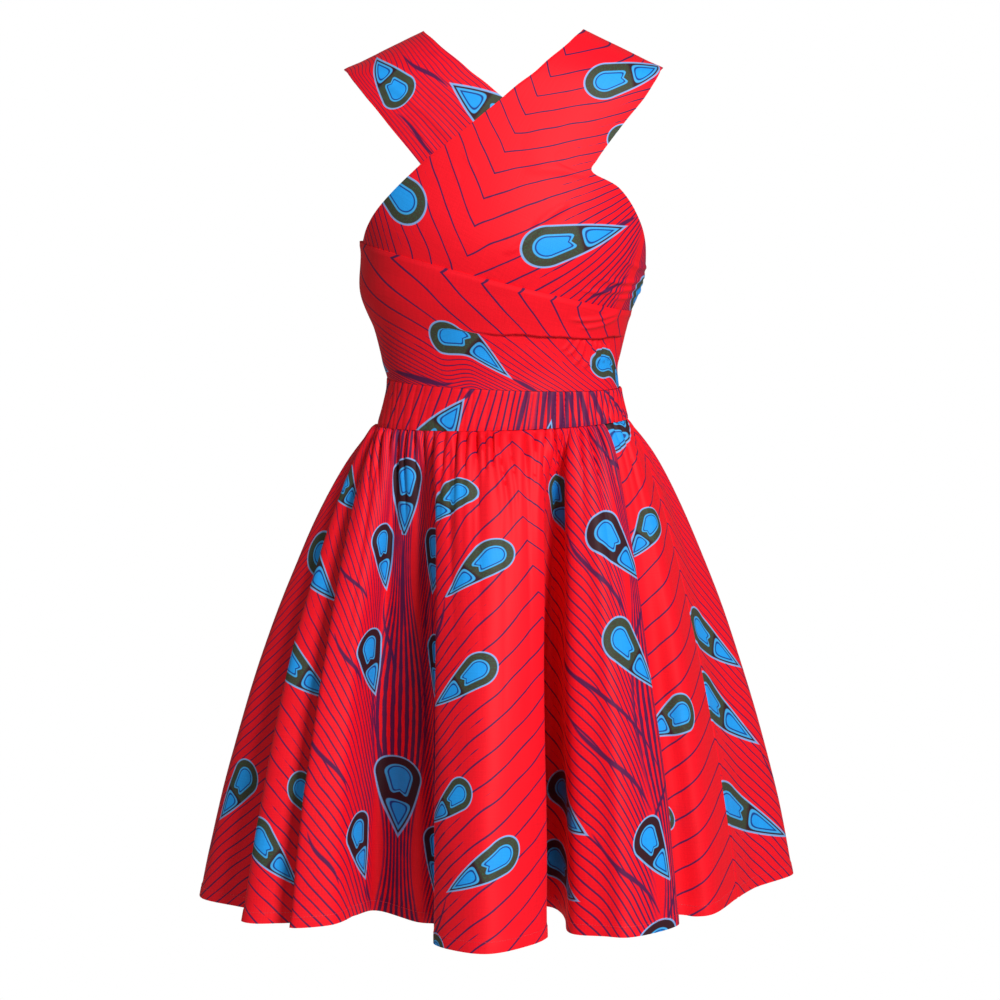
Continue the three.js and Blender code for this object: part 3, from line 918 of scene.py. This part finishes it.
class DressPrint(bpy.types.PropertyGroup):
    """Colours of the printed cotton."""
    ground: colour_property("Ground", "Red of the ground", "#F20A22")
    ground_deep: colour_property("Deep ground", "Red of the ground's clouds", "#E6081C")
    plum: colour_property("Plum", "Barbs and stems", "#561547")
    olive: colour_property("Olive", "Rim of the eyes", "#3E3D30")
    olive_green: colour_property("Green", "Specks in the rim", "#35533A")
    brown: colour_property("Brown", "Brown part of the rim", "#34161F")
    azure: colour_property("Azure", "Panes of the eyes", "#1F9AEC")
    pane_edge: colour_property("Pane edge", "Edge of the panes", "#3FA6E4")
    ink: colour_property("Ink", "Line inside the panes", "#123A86")
    outline_blue: colour_property("Blue outline", "Outline of the eyes", "#5CACDC")
    outline_pale: colour_property("Pale outline", "Pale parts of the outline", "#94A2DC")


class DressStage(bpy.types.PropertyGroup):
    """Floor, light and camera."""
    floor_gap: length_property("Floor gap", "Distance of the floor below the hem", 0.45)
    key_power: number_property("Key power", "Power of the key light in watts", 230.0, "POWER")
    fill_power: number_property("Fill power", "Power of the fill light in watts", 12.0, "POWER")
    surround: number_property("Surround", "Strength of the light from the white surround", 0.2)


# The bodice's cloth is doubled, and shows this much thicker than the skirt's.
BODICE_THICKER = 1.2


def bodice_thickness(context):
    """Thickness of the bodice's cloth in millimetres."""
    return context.scene.dress_cloth.thickness / MILLIMETRE * BODICE_THICKER


# ----- Straps -----

STRAP_STEPS = 16
SHOULDER_ROW = 8 * STRAP_STEPS
# Over the shoulder a strap's places run on the way they run over this many rows in front of it.
HEADING_ROWS = 24
# How far the straps' and the wrap's long edges roll in, and over what width.
STRAP_ROLL = 0.5
STRAP_ROLL_WIDTH = 3.5
WRAP_ROLL = 1.0
WRAP_ROLL_WIDTH = 4


def strap_grid(table, side, columns):
    """Points and flat places of a strap, row by row from its back end to its front end.

    Places go round the figure in front, and straight on over the shoulder behind."""
    edges = ([], [])
    for face, neck_x, neck_z, arm_x, arm_z, hug in table:
        for edge, x, z in zip(edges, (neck_x, arm_x), (neck_z, arm_z)):
            if isinstance(x, str):
                angle = float(x)
            else:
                front = math.degrees(math.asin(max(-1, min(1, x / float(half_width(z))))))
                angle = {"top": side * 90, "front": front, "back": side * 180 - front}[face]
            edge.append((angle, z, hug))
    at = np.linspace(0, len(table) - 1, (len(table) - 1) * STRAP_STEPS + 1)
    neck, arm = [curve_through(edge, at)[:, None] for edge in edges]
    share = np.linspace(0, 1, columns)[None, :]
    share = share if side > 0 else 1 - share
    angle = mix(neck[..., 0], arm[..., 0], share)
    height = mix(neck[..., 1], arm[..., 1], share)
    height = mix(height, wrap_top(angle) - WRAP_TUCKED_UNDER, neck[..., 2])
    points = figure_points(angle, height)
    places = figure_places(angle, height)
    heading = (places[SHOULDER_ROW] - places[SHOULDER_ROW + HEADING_ROWS]).mean(axis=0)
    heading /= np.linalg.norm(heading)
    lengths = np.linalg.norm(np.diff(points, axis=0), axis=2)
    for row in range(SHOULDER_ROW - 1, -1, -1):
        places[row] = places[row + 1] + heading * lengths[row].mean()
    return points, places


def strap_relief(points, places, strokes, height, reach, seed):
    """Creases, ripples of this height and reach, and long edges that roll in."""
    across = np.linalg.norm(np.diff(points, axis=1), axis=2)
    run = np.concatenate((np.zeros((len(points), 1)), np.cumsum(across, axis=1)), axis=1)
    rolled = -STRAP_ROLL * (1 - ease(np.minimum(run, run[:, -1:] - run), 0, STRAP_ROLL_WIDTH))
    ripple = height * soft_noise(places[..., 0] / reach[0], places[..., 1] / reach[1], seed)
    return rolled + ripple + crease(places, strokes)


def turned(places, origin, up_direction):
    """Places measured across and up a print that starts at an origin and runs up a direction."""
    up = np.array(up_direction) / np.linalg.norm(up_direction)
    right = np.array((up[1], -up[0]))
    moved = places - np.array(origin)
    return moved @ right, moved @ up


# Creases on flat places: from, to, bow, half width and depth.
UNDER_CREASES = (
    (-140, 402, -40, 318, 3, 5, 0.9),
    (-112, 415, -20, 335, -4, 6, -0.8),
    (-30, 345, 10, 322, 2, 3, 0.9),
    (-60, 330, -10, 300, 2, 3.5, 0.8),
    (-100, 352, -60, 300, -2, 4, 0.8),
)
OVER_CREASES = (
    (0, 208, 40, 238, -3, 3.2, 2.2),
    (34, 232, 74, 262, 3, 4.4, 1.9),
    (-45, 318, -30, 296, 1, 2.2, 0.9),
    (-58, 306, -50, 288, 1, 2, 0.9),
    (96, 300, 60, 316, 3, 5, -1.2),
    (100, 292, 30, 300, -4, 6, 1.2),
    (215, 176, 120, 176, 5, 2.4, 2.3),
    (215, 168, 96, 164, 4, 2.4, 2.3),
    (215, 160, 140, 154, 3, 2.2, 2.0),
    (215, 186, 150, 196, 4, 3, 1.7),
)

# Eyes and stems on flat places: across, up, turn, length and width, then brown, draw-in and swing where
# they are not plain.
UNDER_EYES = (
    (-132, 400, 137, 66, 46),
    (-20, 369, 125, 96, 54),
)
UNDER_STEMS = (
    (-90, 410, -57, 68, 3, 0, 1, 2),
    (-98, 338, -44, 70, 2.8, 0, 1, -2),
)
OVER_EYES = (
    (83, 222, -101, 136, 45),
    (-138, 286, 131, 120, 52),
    (145, 403, -101, 108, 38),
    (161, 339, -101, 84, 32),
    (226, 162, -105, 104, 42),
    (-190, 100, 40, 90, 44),
)
OVER_STEMS = (
    (150, 240, 73, 34, 3),
    (126, 164, 62, 76, 2.6, 0, 1, 2),
)
# The straps' print: a place on its middle line, and which way it runs there.
UNDER_PRINT_FROM = (-96, 343)
UNDER_PRINT_UP = (-0.54, 0.84)
OVER_PRINT_FROM = (-48, 190)
OVER_PRINT_DOWN = (-0.464, -0.886)
# The under strap's distance from the print's spine, and how its print slants across and up.
UNDER_FROM_SPINE = 125
UNDER_SLANTS = (0.2, 0.1)
# The over strap's print is squeezed across, and bows to one side over this length.
OVER_PRINT_SCALE = 1.25
OVER_PRINT_BOW = 16
OVER_BOW_LENGTH = 290
# Lines of the print across the under strap, and up the over strap's middle line from its foot.
UNDER_LINES = 11.5
STRAP_LINES = np.array([(-120, -3.9), (0, 0), (65, 2), (125, 4), (173, 6), (223, 8), (279, 10), (700, 26)])


class DRESS_OT_straps(bpy.types.Operator):
    """Builds the under strap, and the over strap with the bust cloth it spreads into"""
    bl_idname = "dress.straps"
    bl_label = "Straps and bust cloth"

    def execute(self, context):
        thickness = bodice_thickness(context)

        points, places = strap_grid(UNDER_STRAP, side=-1, columns=60)
        relief = strap_relief(points, places, UNDER_CREASES, height=0.4, reach=(26, 30), seed=3)
        lift = CLOTH_INSET + np.maximum(relief, -0.15)
        _, along = turned(places, UNDER_PRINT_FROM, UNDER_PRINT_UP)
        share = np.broadcast_to(np.linspace(0, 1, along.shape[1]), along.shape)
        count = UNDER_LINES * share
        slant_across, slant_up = UNDER_SLANTS
        up = count * LINE_SPACING + slant_up * along
        lines = np.stack((UNDER_FROM_SPINE + slant_across * along, up), axis=-1)
        piece, _ = cloth_mesh(
            "under_strap_cloth", points, lift, thickness, lines, places, UNDER_EYES, UNDER_STEMS,
            level=False)
        finish_piece(piece, ["strap_under"])

        points, places = strap_grid(OVER_STRAP, side=1, columns=150)
        relief = strap_relief(points, places, OVER_CREASES, height=0.6, reach=(45, 45), seed=5)
        lift = LAYER_STEP + CLOTH_INSET + np.maximum(relief, -0.2)
        across, down = turned(places, OVER_PRINT_FROM, OVER_PRINT_DOWN)
        across = across - OVER_PRINT_BOW * np.sin(np.pi * np.clip(-down / OVER_BOW_LENGTH, 0, 1))
        count = smooth_column(STRAP_LINES, 1, -down)
        lines = np.stack((RIDGE + OVER_PRINT_SCALE * across, -count * LINE_SPACING), axis=-1)
        piece, _ = cloth_mesh(
            "over_strap_and_bust_cloth", points, lift, thickness, lines, places, OVER_EYES, OVER_STEMS,
            level=False)
        finish_piece(piece, ["strap_over_bust"])
        return {"FINISHED"}


# ----- Midriff wrap and waistband -----

def band_grid(top, bottom, rows, columns):
    """Angles, heights and points round the figure between two edges, from the back round the front."""
    angle = -180 + 360 * np.arange(columns + 1) / columns
    height = mix(top(angle)[None, :], bottom(angle)[None, :], rows[:, None])
    angle = np.broadcast_to(angle, height.shape)
    return angle, height, figure_points(angle, height)


WRAP_CREASES = (
    (150, 139, 84, 132, 3, 2.6, 2.4),
    (150, 134, 96, 122, 3, 2.6, 2.4),
    (86, 108, 74, 94, 1, 1.8, 1.8),
    (95, 107, 81, 88, 2, 2.2, 2.6),
    (103, 106, 91, 78, 2, 2.3, 3.2),
    (111, 105, 102, 72, 2, 2.3, 3.4),
    (119, 103, 112, 74, 1, 2.3, 3.4),
    (127, 101, 122, 76, 1, 2.3, 3.2),
    (135, 99, 132, 78, 0, 2.3, 3.0),
    (143, 98, 141, 80, 0, 2.3, 2.6),
)
WRAP_EYES = (
    (-32.5, 84.5, -46, 121, 38),
    (154.5, 53, -84, 88, 36),
    (-203, 75, -78, 96, 42),
    (330, 110, -70, 100, 42),
    (-330, 120, -70, 100, 42),
    (285, 62, 100, 96, 42),
)
WRAP_STEMS = (
    (27, 33, -59, 38, 3.2),
    (-97, 60, -79, 84, 4.6),
    (260, 50, 80, 90, 3, 0, 1, 2),
)
BAND_EYES = (
    (-71, 2, -144, 90, 52),
    (46, -36, 190, 100, 40),
    (-230, 20, -120, 96, 44),
    (270, 34, 120, 96, 44),
)
BAND_STEMS = (
    (-38, 46, 42, 28, 3.2),
    (-165, 44, 46, 30, 3),
    (22, 27, 14, 110, 3.6),
    (45.5, 27, 7, 110, 3.0),
    (56.5, 27, 1, 110, 3.0),
    (67.5, 27, -6, 110, 3.0),
    (79, 27, -12, 110, 2.4),
    (95, 27, -17, 110, 3.8),
    (114, 27, -26, 110, 3.8),
    (139, 34, -50, 110, 2.2),
)
# The waistband's print is squeezed: millimetres of print for each millimetre round, and its spine.
BAND_PRINT_SCALE = 1.25
BAND_SPINE = 66
# Its print's level at the seam, and how it falls with the height.
BAND_PRINT_UP = 30
BAND_PRINT_FALLS = 0.45
# The waistband stands off the figure by this, except in this share of its height at each edge.
BAND_LIFT = 0.5
BAND_EDGE_SHARE = 0.07
# Its ruches: spacing, slant from top to bottom, and the angles where they start and end.
RUCHE_SPACING = 10.5
RUCHE_LEAN = 6
RUCHED_FROM = (-15, 25)
RUCHED_TO = (110, 150)
# The print's ridge runs this far below the wrap's upper edge, and its barbs bend away from it.
WRAP_RIDGE_BELOW = 5
WRAP_PRINT_BENDS = (1.05, 0.004)
# Lines of the print round the wrap's upper edge, against the share of half the way round.
WRAP_LINES = np.array([
    (-1, -5), (-0.39, 0), (-0.225, 1), (-0.11, 2), (-0.005, 3), (0.09, 4), (0.178, 5), (0.253, 6), (1, 15),
])


class DRESS_OT_midriff_wrap(bpy.types.Operator):
    """Builds the wrap round the midriff, with its folded upper edge and its tuck"""
    bl_idname = "dress.midriff_wrap"
    bl_label = "Midriff wrap"

    def execute(self, context):
        rows = np.linspace(0, 1, 86)
        angle, height, points = band_grid(wrap_top, lambda a: band_top(a) + SEAM_GAP, rows, columns=520)
        places = figure_places(angle, height)
        across = places[..., 0]
        half_round = np.abs(arc_from_front(np.full_like(height, 180.0), height))
        wander = 1.5 * soft_noise(across / 24, 0 * height, seed=11)
        edge = TUCK_HEIGHT - TUCK_FALL * np.sin(np.radians(angle)) + wander
        stepped = ease(height, edge - TUCK_EDGE, edge)
        eased = ease(height, band_top(angle), wrap_top(angle) - 2 * WRAP_TUCKED_UNDER)
        away = np.abs(angle - TUCK_ANGLE)
        away = np.minimum(away, 360 - away)
        before_end = 1 - ease(angle, *TUCK_ENDS)
        tucked = (1 - ease(away, TUCK_FULL_WITHIN, TUCK_GONE_BEYOND)) * before_end
        lift = 2 * LAYER_STEP * mix(eased, stepped, tucked)
        rolled = -WRAP_ROLL * (1 - ease(wrap_top(angle) - height, 0, WRAP_ROLL_WIDTH))
        relief = rolled + crease(places, WRAP_CREASES) + 0.5 * soft_noise(across / 38, height / 22, seed=13)
        lift = CLOTH_INSET + lift + np.maximum(relief, -0.2 - lift * 0.5)
        hidden = TUCK_HIDES * ease(angle, *TUCK_HIDES_FROM) * before_end * (1 - stepped)
        spots = np.stack((across, height - hidden), axis=-1)
        below = wrap_top(angle) - spots[..., 1] - WRAP_RIDGE_BELOW
        count = smooth_column(WRAP_LINES, 1, across / half_round)
        straight, bowed = WRAP_PRINT_BENDS
        bent = straight * below + bowed * below * np.abs(below)
        lines = np.stack((RIDGE - bent, -count * LINE_SPACING), axis=-1)
        piece, _ = cloth_mesh(
            "midriff_wrap_cloth", points, lift, bodice_thickness(context), lines, spots, WRAP_EYES,
            WRAP_STEMS, ring=True)
        finish_piece(piece, ["midriff_wrap"])
        return {"FINISHED"}


class DRESS_OT_waistband(bpy.types.Operator):
    """Builds the ruched waistband"""
    bl_idname = "dress.waistband"
    bl_label = "Waistband"

    def execute(self, context):
        rows = np.linspace(0, 1, 30)
        angle, height, points = band_grid(band_top, band_bottom, rows, columns=800)
        places = figure_places(angle, height)
        share = np.broadcast_to(rows[:, None], height.shape)
        strong = 0.4 + 0.6 * ease(angle, *RUCHED_FROM) * (1 - 0.6 * ease(angle, *RUCHED_TO))
        strong = np.where(np.abs(angle) > RUCHED_TO[1], 0.5, strong)
        ruches = gathers(places[..., 0] + RUCHE_LEAN * share, height, RUCHE_SPACING, seed=21)
        deep = context.scene.dress_cloth.ruche_depth / MILLIMETRE
        lift = CLOTH_INSET + BAND_LIFT + deep * strong * (0.6 + 0.6 * ruches)
        lift -= BAND_LIFT * (1 - ease(np.minimum(share, 1 - share), 0, BAND_EDGE_SHARE))
        across = BAND_PRINT_SCALE * (places[..., 0] - BAND_SPINE)
        lines = np.stack((across, BAND_PRINT_UP - BAND_PRINT_FALLS * height), axis=-1)
        piece, _ = cloth_mesh(
            "waistband_cloth", points, lift, bodice_thickness(context), lines, places, BAND_EYES, BAND_STEMS,
            ring=True)
        finish_piece(piece, ["waistband"])
        return {"FINISHED"}


# ----- Skirt -----

# Each panel: its CAD node, first and last fold, where the print's spines meet its hem, and a seed.
SKIRT_PANELS = (
    ("skirt_front", 0, RIGHT_SEAM, FRONT_SPINES, 31),
    ("skirt_back", RIGHT_SEAM, len(SKIRT_FOLDS), BACK_SPINES, 47),
)
# How much lower than level the front's hem hangs, from the left seam.
HEM_SAGS = (
    (0, 0), (250, 0), (400, -8), (548, 8), (600, 2), (800, 0), (925, 7), (1000, 3), (1120, 3), (1165, 8),
    (1258, 0),
)
# Hollows where a fold is deeper than the plain solids: from the left seam at the hem, half width, how
# far the cloth goes across and back there, and how late it opens on the way down.
HOLLOWS = {
    "skirt_front": (
        (205, 40, 0, -24, 3),
        (440, 22, 0, 10, 0.9),
        (562, 38, 0, 52, 0.9),
        (893, 45, -22, 88, 0.9),
        (951, 24, -25, -22, 0.9),
        (1150, 26, 0, 18, 0.9),
    ),
    "skirt_back": (),
}
SKIRT_LENGTH = 600.0
# Drops below the seam, close together at the gathers and at the hem.
SKIRT_DROPS = np.concatenate((np.arange(0, 60, 2.4), np.linspace(60, 549, 90), (553, 557, 561, SKIRT_DROP)))
# Small and long gathers: height, the drops between which they start, how far down they reach and how
# fast they fade, how much flatter they are on the flat part, their length and width, and their seed.
GATHER_KINDS = (
    (1, (-6, 9), 62, 1.4, 0.85, 1, 1, 0),
    (0.7, (0, 30), 150, 1.6, 0.6, 0.5, 2.3, 2),
)
# Broad and fine waves below them: height, width, length, the drops between which they start, and seed.
WAVE_KINDS = (
    (2.6, 85, 240, (60, 300), 4),
    (0.5, 26, 60, (20, 90), 5),
)
# The cloth lies flat this far from a side seam, and is drawn in beside it: by how much and how far.
SIDE_SEAM_FLAT = 14
SIDE_SEAM_DRAWN = 1.2
SIDE_SEAM_DRAWN_TO = 3
# Share by which the folded hem is thicker.
HEM_THICKER = 0.8
# The gathers are flatter near the wearer's left side: angle and reach.
FLAT_GATHERS = (80, 16)
# Near the waist the front's print leans to the spine on the wearer's left: place, reach and amount, and
# the drop where that ends.
PRINT_LEANS = (780, 170, 52, 300)
SKIRT_COLUMNS = 415


def skirt_panel(first, last, columns, hollows=()):
    """Waist angles, points and flat places of a panel between two seams."""
    hem_points = [(across, -forward) for _, _, across, forward in SKIRT_FOLDS]
    waists = [fold[1] for fold in SKIRT_FOLDS] + [SKIRT_FOLDS[0][1] + 360]
    dense = np.linspace(first, last, 8001)
    line = curve_through(hem_points, dense, closed=True)
    run = np.concatenate(((0,), np.cumsum(np.linalg.norm(np.diff(line, axis=0), axis=1))))
    at = np.interp(np.linspace(0, run[-1], columns), run, dense)
    hem = curve_through(hem_points, at, closed=True)
    angle = np.interp(at, np.arange(len(waists)), waists)
    seam = band_bottom(angle) - SEAM_GAP
    waist = figure_points(angle, seam)
    drop = SKIRT_DROPS[:, None]
    opened = smooth_column(SKIRT_FLARE, 1, drop)
    points = np.zeros((len(drop), columns, 3))
    points[..., :2] = mix(waist[None, :, :2], hem[None], opened[..., None])
    points[..., 2] = seam[None, :] - drop
    slant = np.linalg.norm(np.diff(points, axis=0), axis=2)
    slant = np.concatenate((np.zeros((1, columns)), np.cumsum(slant, axis=0)))
    slant *= SKIRT_LENGTH / slant[-1]
    flat = np.stack((np.broadcast_to(np.linspace(0, run[-1], columns), slant.shape), slant), axis=-1)
    if hollows:
        points[..., 2] -= np.interp(flat[..., 0], *zip(*HEM_SAGS)) * opened ** 2
    for middle, reach, across, back, lateness in hollows:
        share = bump(flat[..., 0], middle, reach) * opened ** lateness
        points[..., 0] += across * share
        points[..., 1] += back * share
    return angle, points, flat


def skirt_lift(angle, flat, spacing, deep, seed):
    """How far a panel's cloth stands off its folds: gathers, long soft waves, and flat seams."""
    drop = np.broadcast_to(SKIRT_DROPS[:, None], flat.shape[:2])
    waist_place = np.broadcast_to(arc_from_front(angle, np.zeros_like(angle)), drop.shape)
    flatter = bump(angle, *FLAT_GATHERS)
    lift = 0
    for height, starts, reach, fade, flattened, slower, wider, draw in GATHER_KINDS:
        grown = ease(drop, *starts) * np.exp(-(drop / reach) ** fade) * (1 - flattened * flatter)
        lift = lift + height * (grown * gathers(waist_place, drop * slower, wider * spacing, seed + draw))
    lift = CLOTH_INSET + deep * lift
    for height, width, length, starts, draw in WAVE_KINDS:
        waves = soft_noise(flat[..., 0] / width, drop / length, seed + draw)
        lift = lift + height * (waves * ease(drop, *starts))
    from_seam = np.minimum(flat[..., 0], flat[0, -1, 0] - flat[..., 0])
    lift = mix(CLOTH_INSET, lift, ease(from_seam, 0, SIDE_SEAM_FLAT))
    return lift - SIDE_SEAM_DRAWN * (1 - ease(from_seam, 0, SIDE_SEAM_DRAWN_TO))


def skirt_marks(node, points, flat, spines):
    """Eyes and stems of a panel, from its left seam and up from its waist."""
    width = flat[0, -1, 0]
    shares = np.linalg.norm(np.diff(points, axis=1), axis=2).sum(axis=1) / width

    def drawn_in(drop):
        return float(np.interp(drop, flat[:, 0, 1], shares))

    # Which eyes there are, how much of their width they keep, the steepest that has a stem below it,
    # and the stems that are charted one by one.
    if node == "skirt_front":
        table, keep, steepest, charted = FRONT_EYES, 1.0, -15, FRONT_STEMS
    else:
        table, keep, steepest, charted = (*BACK_EYES, *repeated_eyes(width, SKIRT_LENGTH)), 0.6, -180, ()
    eyes = [(place, -drop, *rest, drawn_in(drop) ** keep, 0) for place, drop, *rest in table]
    stems = stems_below(eyes, spines, steepest)
    for across, drop, far_across, far_drop, half_wide in charted:
        ends = (across, -drop), (far_across, -far_drop)
        stems.append(stem_between(*ends, half_wide, drawn_in((drop + far_drop) / 2), STEM_SWING))
    return eyes, stems


class DRESS_OT_skirt(bpy.types.Operator):
    """Builds the gathered front and back of the skirt"""
    bl_idname = "dress.skirt"
    bl_label = "Skirt panels"

    def execute(self, context):
        sizes = context.scene.dress_cloth
        spacing = sizes.gather_spacing / MILLIMETRE
        deep = sizes.gather_depth / MILLIMETRE
        hem_fold = ease(SKIRT_DROPS, SKIRT_DROP - HEM_DEPTH - 2, SKIRT_DROP - HEM_DEPTH + 1)
        layers = sizes.thickness / MILLIMETRE * (1 + HEM_THICKER * hem_fold[:, None])
        hem_row = int(np.argmin(np.abs(SKIRT_DROPS - (SKIRT_DROP - HEM_DEPTH))))
        for node, first, last, spines, seed in SKIRT_PANELS:
            angle, points, flat = skirt_panel(first, last, SKIRT_COLUMNS, HOLLOWS[node])
            lift = skirt_lift(angle, flat, spacing, deep, seed)
            across = np.interp(flat[..., 0], *zip(*spines))
            if node == "skirt_front":
                middle, reach, lean, ends = PRINT_LEANS
                leaning = (1 - ease(flat[..., 1], 0, ends)) * bump(flat[..., 0], middle, reach)
                across = across + lean * leaning
            lines = np.stack((across, PRINT_LEVEL - flat[..., 1]), axis=-1)
            eyes, stems = skirt_marks(node, points, flat, spines)
            marks = (flat * (1, -1), eyes, stems)
            piece, outer = cloth_mesh(node + "_cloth", points, lift, layers, lines, *marks)
            hem = stitch_row(node + "_hem_stitches", outer[hem_row, 4:-4])
            finish_piece(piece, [node])
        return {"FINISHED"}


# ----- Stage -----

CAMERA_PLACE = (0, -4.2, 0.017)
CAMERA_AIM = (-0.0035, 0, -0.522)
LIGHT_AIM = (0, 0, -0.5)
LENS = 130.1
FLOOR_RADIUS = 1.12
FLOOR_SIDES = 96


def place_and_aim(name, data, place, target):
    """Puts a light or a camera somewhere and turns it to a target."""
    thing = new_object(name, data)
    thing.location = place
    direction = Vector(target) - thing.location
    thing.rotation_euler = direction.to_track_quat("-Z", "Y").to_euler()
    return thing


class DRESS_OT_stage(bpy.types.Operator):
    """Builds the pale floor, the soft light and the camera"""
    bl_idname = "dress.stage"
    bl_label = "Stage"

    def execute(self, context):
        scene = context.scene
        stage = scene.dress_stage
        floor_height = CAD_BOX[0][2] - stage.floor_gap
        turns = [2 * math.pi * i / FLOOR_SIDES for i in range(FLOOR_SIDES)]
        rim = [(FLOOR_RADIUS * math.cos(t), FLOOR_RADIUS * math.sin(t), floor_height) for t in turns]
        mesh = bpy.data.meshes.new("pale_floor")
        mesh.from_pydata(rim, [], [range(FLOOR_SIDES)])
        mesh.materials.append(matt_white_paint())
        new_object("pale_floor", mesh)

        world = bpy.data.worlds.new("white_surround")
        scene.world = world
        world.use_nodes = True
        tree = world.node_tree
        tree.nodes.clear()
        white = ("Color", (1, 1, 1, 1))
        cast = add(tree, "ShaderNodeBackground", values=[white, ("Strength", stage.surround)])
        seen = add(tree, "ShaderNodeBackground", values=[white, ("Strength", 1.0)])
        rays = add(tree, "ShaderNodeLightPath").outputs["Is Camera Ray"]
        both = add(tree, "ShaderNodeMixShader", [(0, rays), (1, cast.outputs[0]), (2, seen.outputs[0])])
        add(tree, "ShaderNodeOutputWorld", [("Surface", both.outputs[0])])

        for name, place, size, power in (
            ("key_light", (1.95, -3.6, 1.7), 1.1, stage.key_power),
            ("fill_light", (-2.4, -2.6, 0.6), 2.2, stage.fill_power),
        ):
            light = bpy.data.lights.new(name, "AREA")
            light.shape = "SQUARE"
            light.size = size
            light.energy = power
            place_and_aim(name, light, place, LIGHT_AIM)

        camera = bpy.data.cameras.new("front_camera")
        camera.lens = LENS
        camera.clip_end = 50
        scene.camera = place_and_aim("front_camera", camera, CAMERA_PLACE, CAMERA_AIM)
        scene.view_settings.view_transform = "Standard"
        return {"FINISHED"}


class DRESS_PT_panel(bpy.types.Panel):
    """Lists the steps that build the dress"""
    bl_idname = "DRESS_PT_panel"
    bl_label = "Wrap dress"
    bl_space_type = "VIEW_3D"
    bl_region_type = "UI"
    bl_category = "Dress"

    def draw(self, context):
        for operator in OPERATORS:
            self.layout.operator(operator.bl_idname)


OPERATORS = (DRESS_OT_straps, DRESS_OT_midriff_wrap, DRESS_OT_waistband, DRESS_OT_skirt, DRESS_OT_stage)
GROUPS = (("dress_cloth", DressCloth), ("dress_print", DressPrint), ("dress_stage", DressStage))


def register():
    for name, group in GROUPS:
        bpy.utils.register_class(group)
        setattr(bpy.types.Scene, name, bpy.props.PointerProperty(type=group))
    for cls in (*OPERATORS, DRESS_PT_panel):
        bpy.utils.register_class(cls)


def unregister():
    for cls in (DRESS_PT_panel, *reversed(OPERATORS)):
        bpy.utils.unregister_class(cls)
    for name, group in reversed(GROUPS):
        delattr(bpy.types.Scene, name)
        bpy.utils.unregister_class(group)


def main():
    register()
    bpy.ops.dress.straps()
    bpy.ops.dress.midriff_wrap()
    bpy.ops.dress.waistband()
    bpy.ops.dress.skirt()
    bpy.ops.dress.stage()


if __name__ == "__main__":
    main()
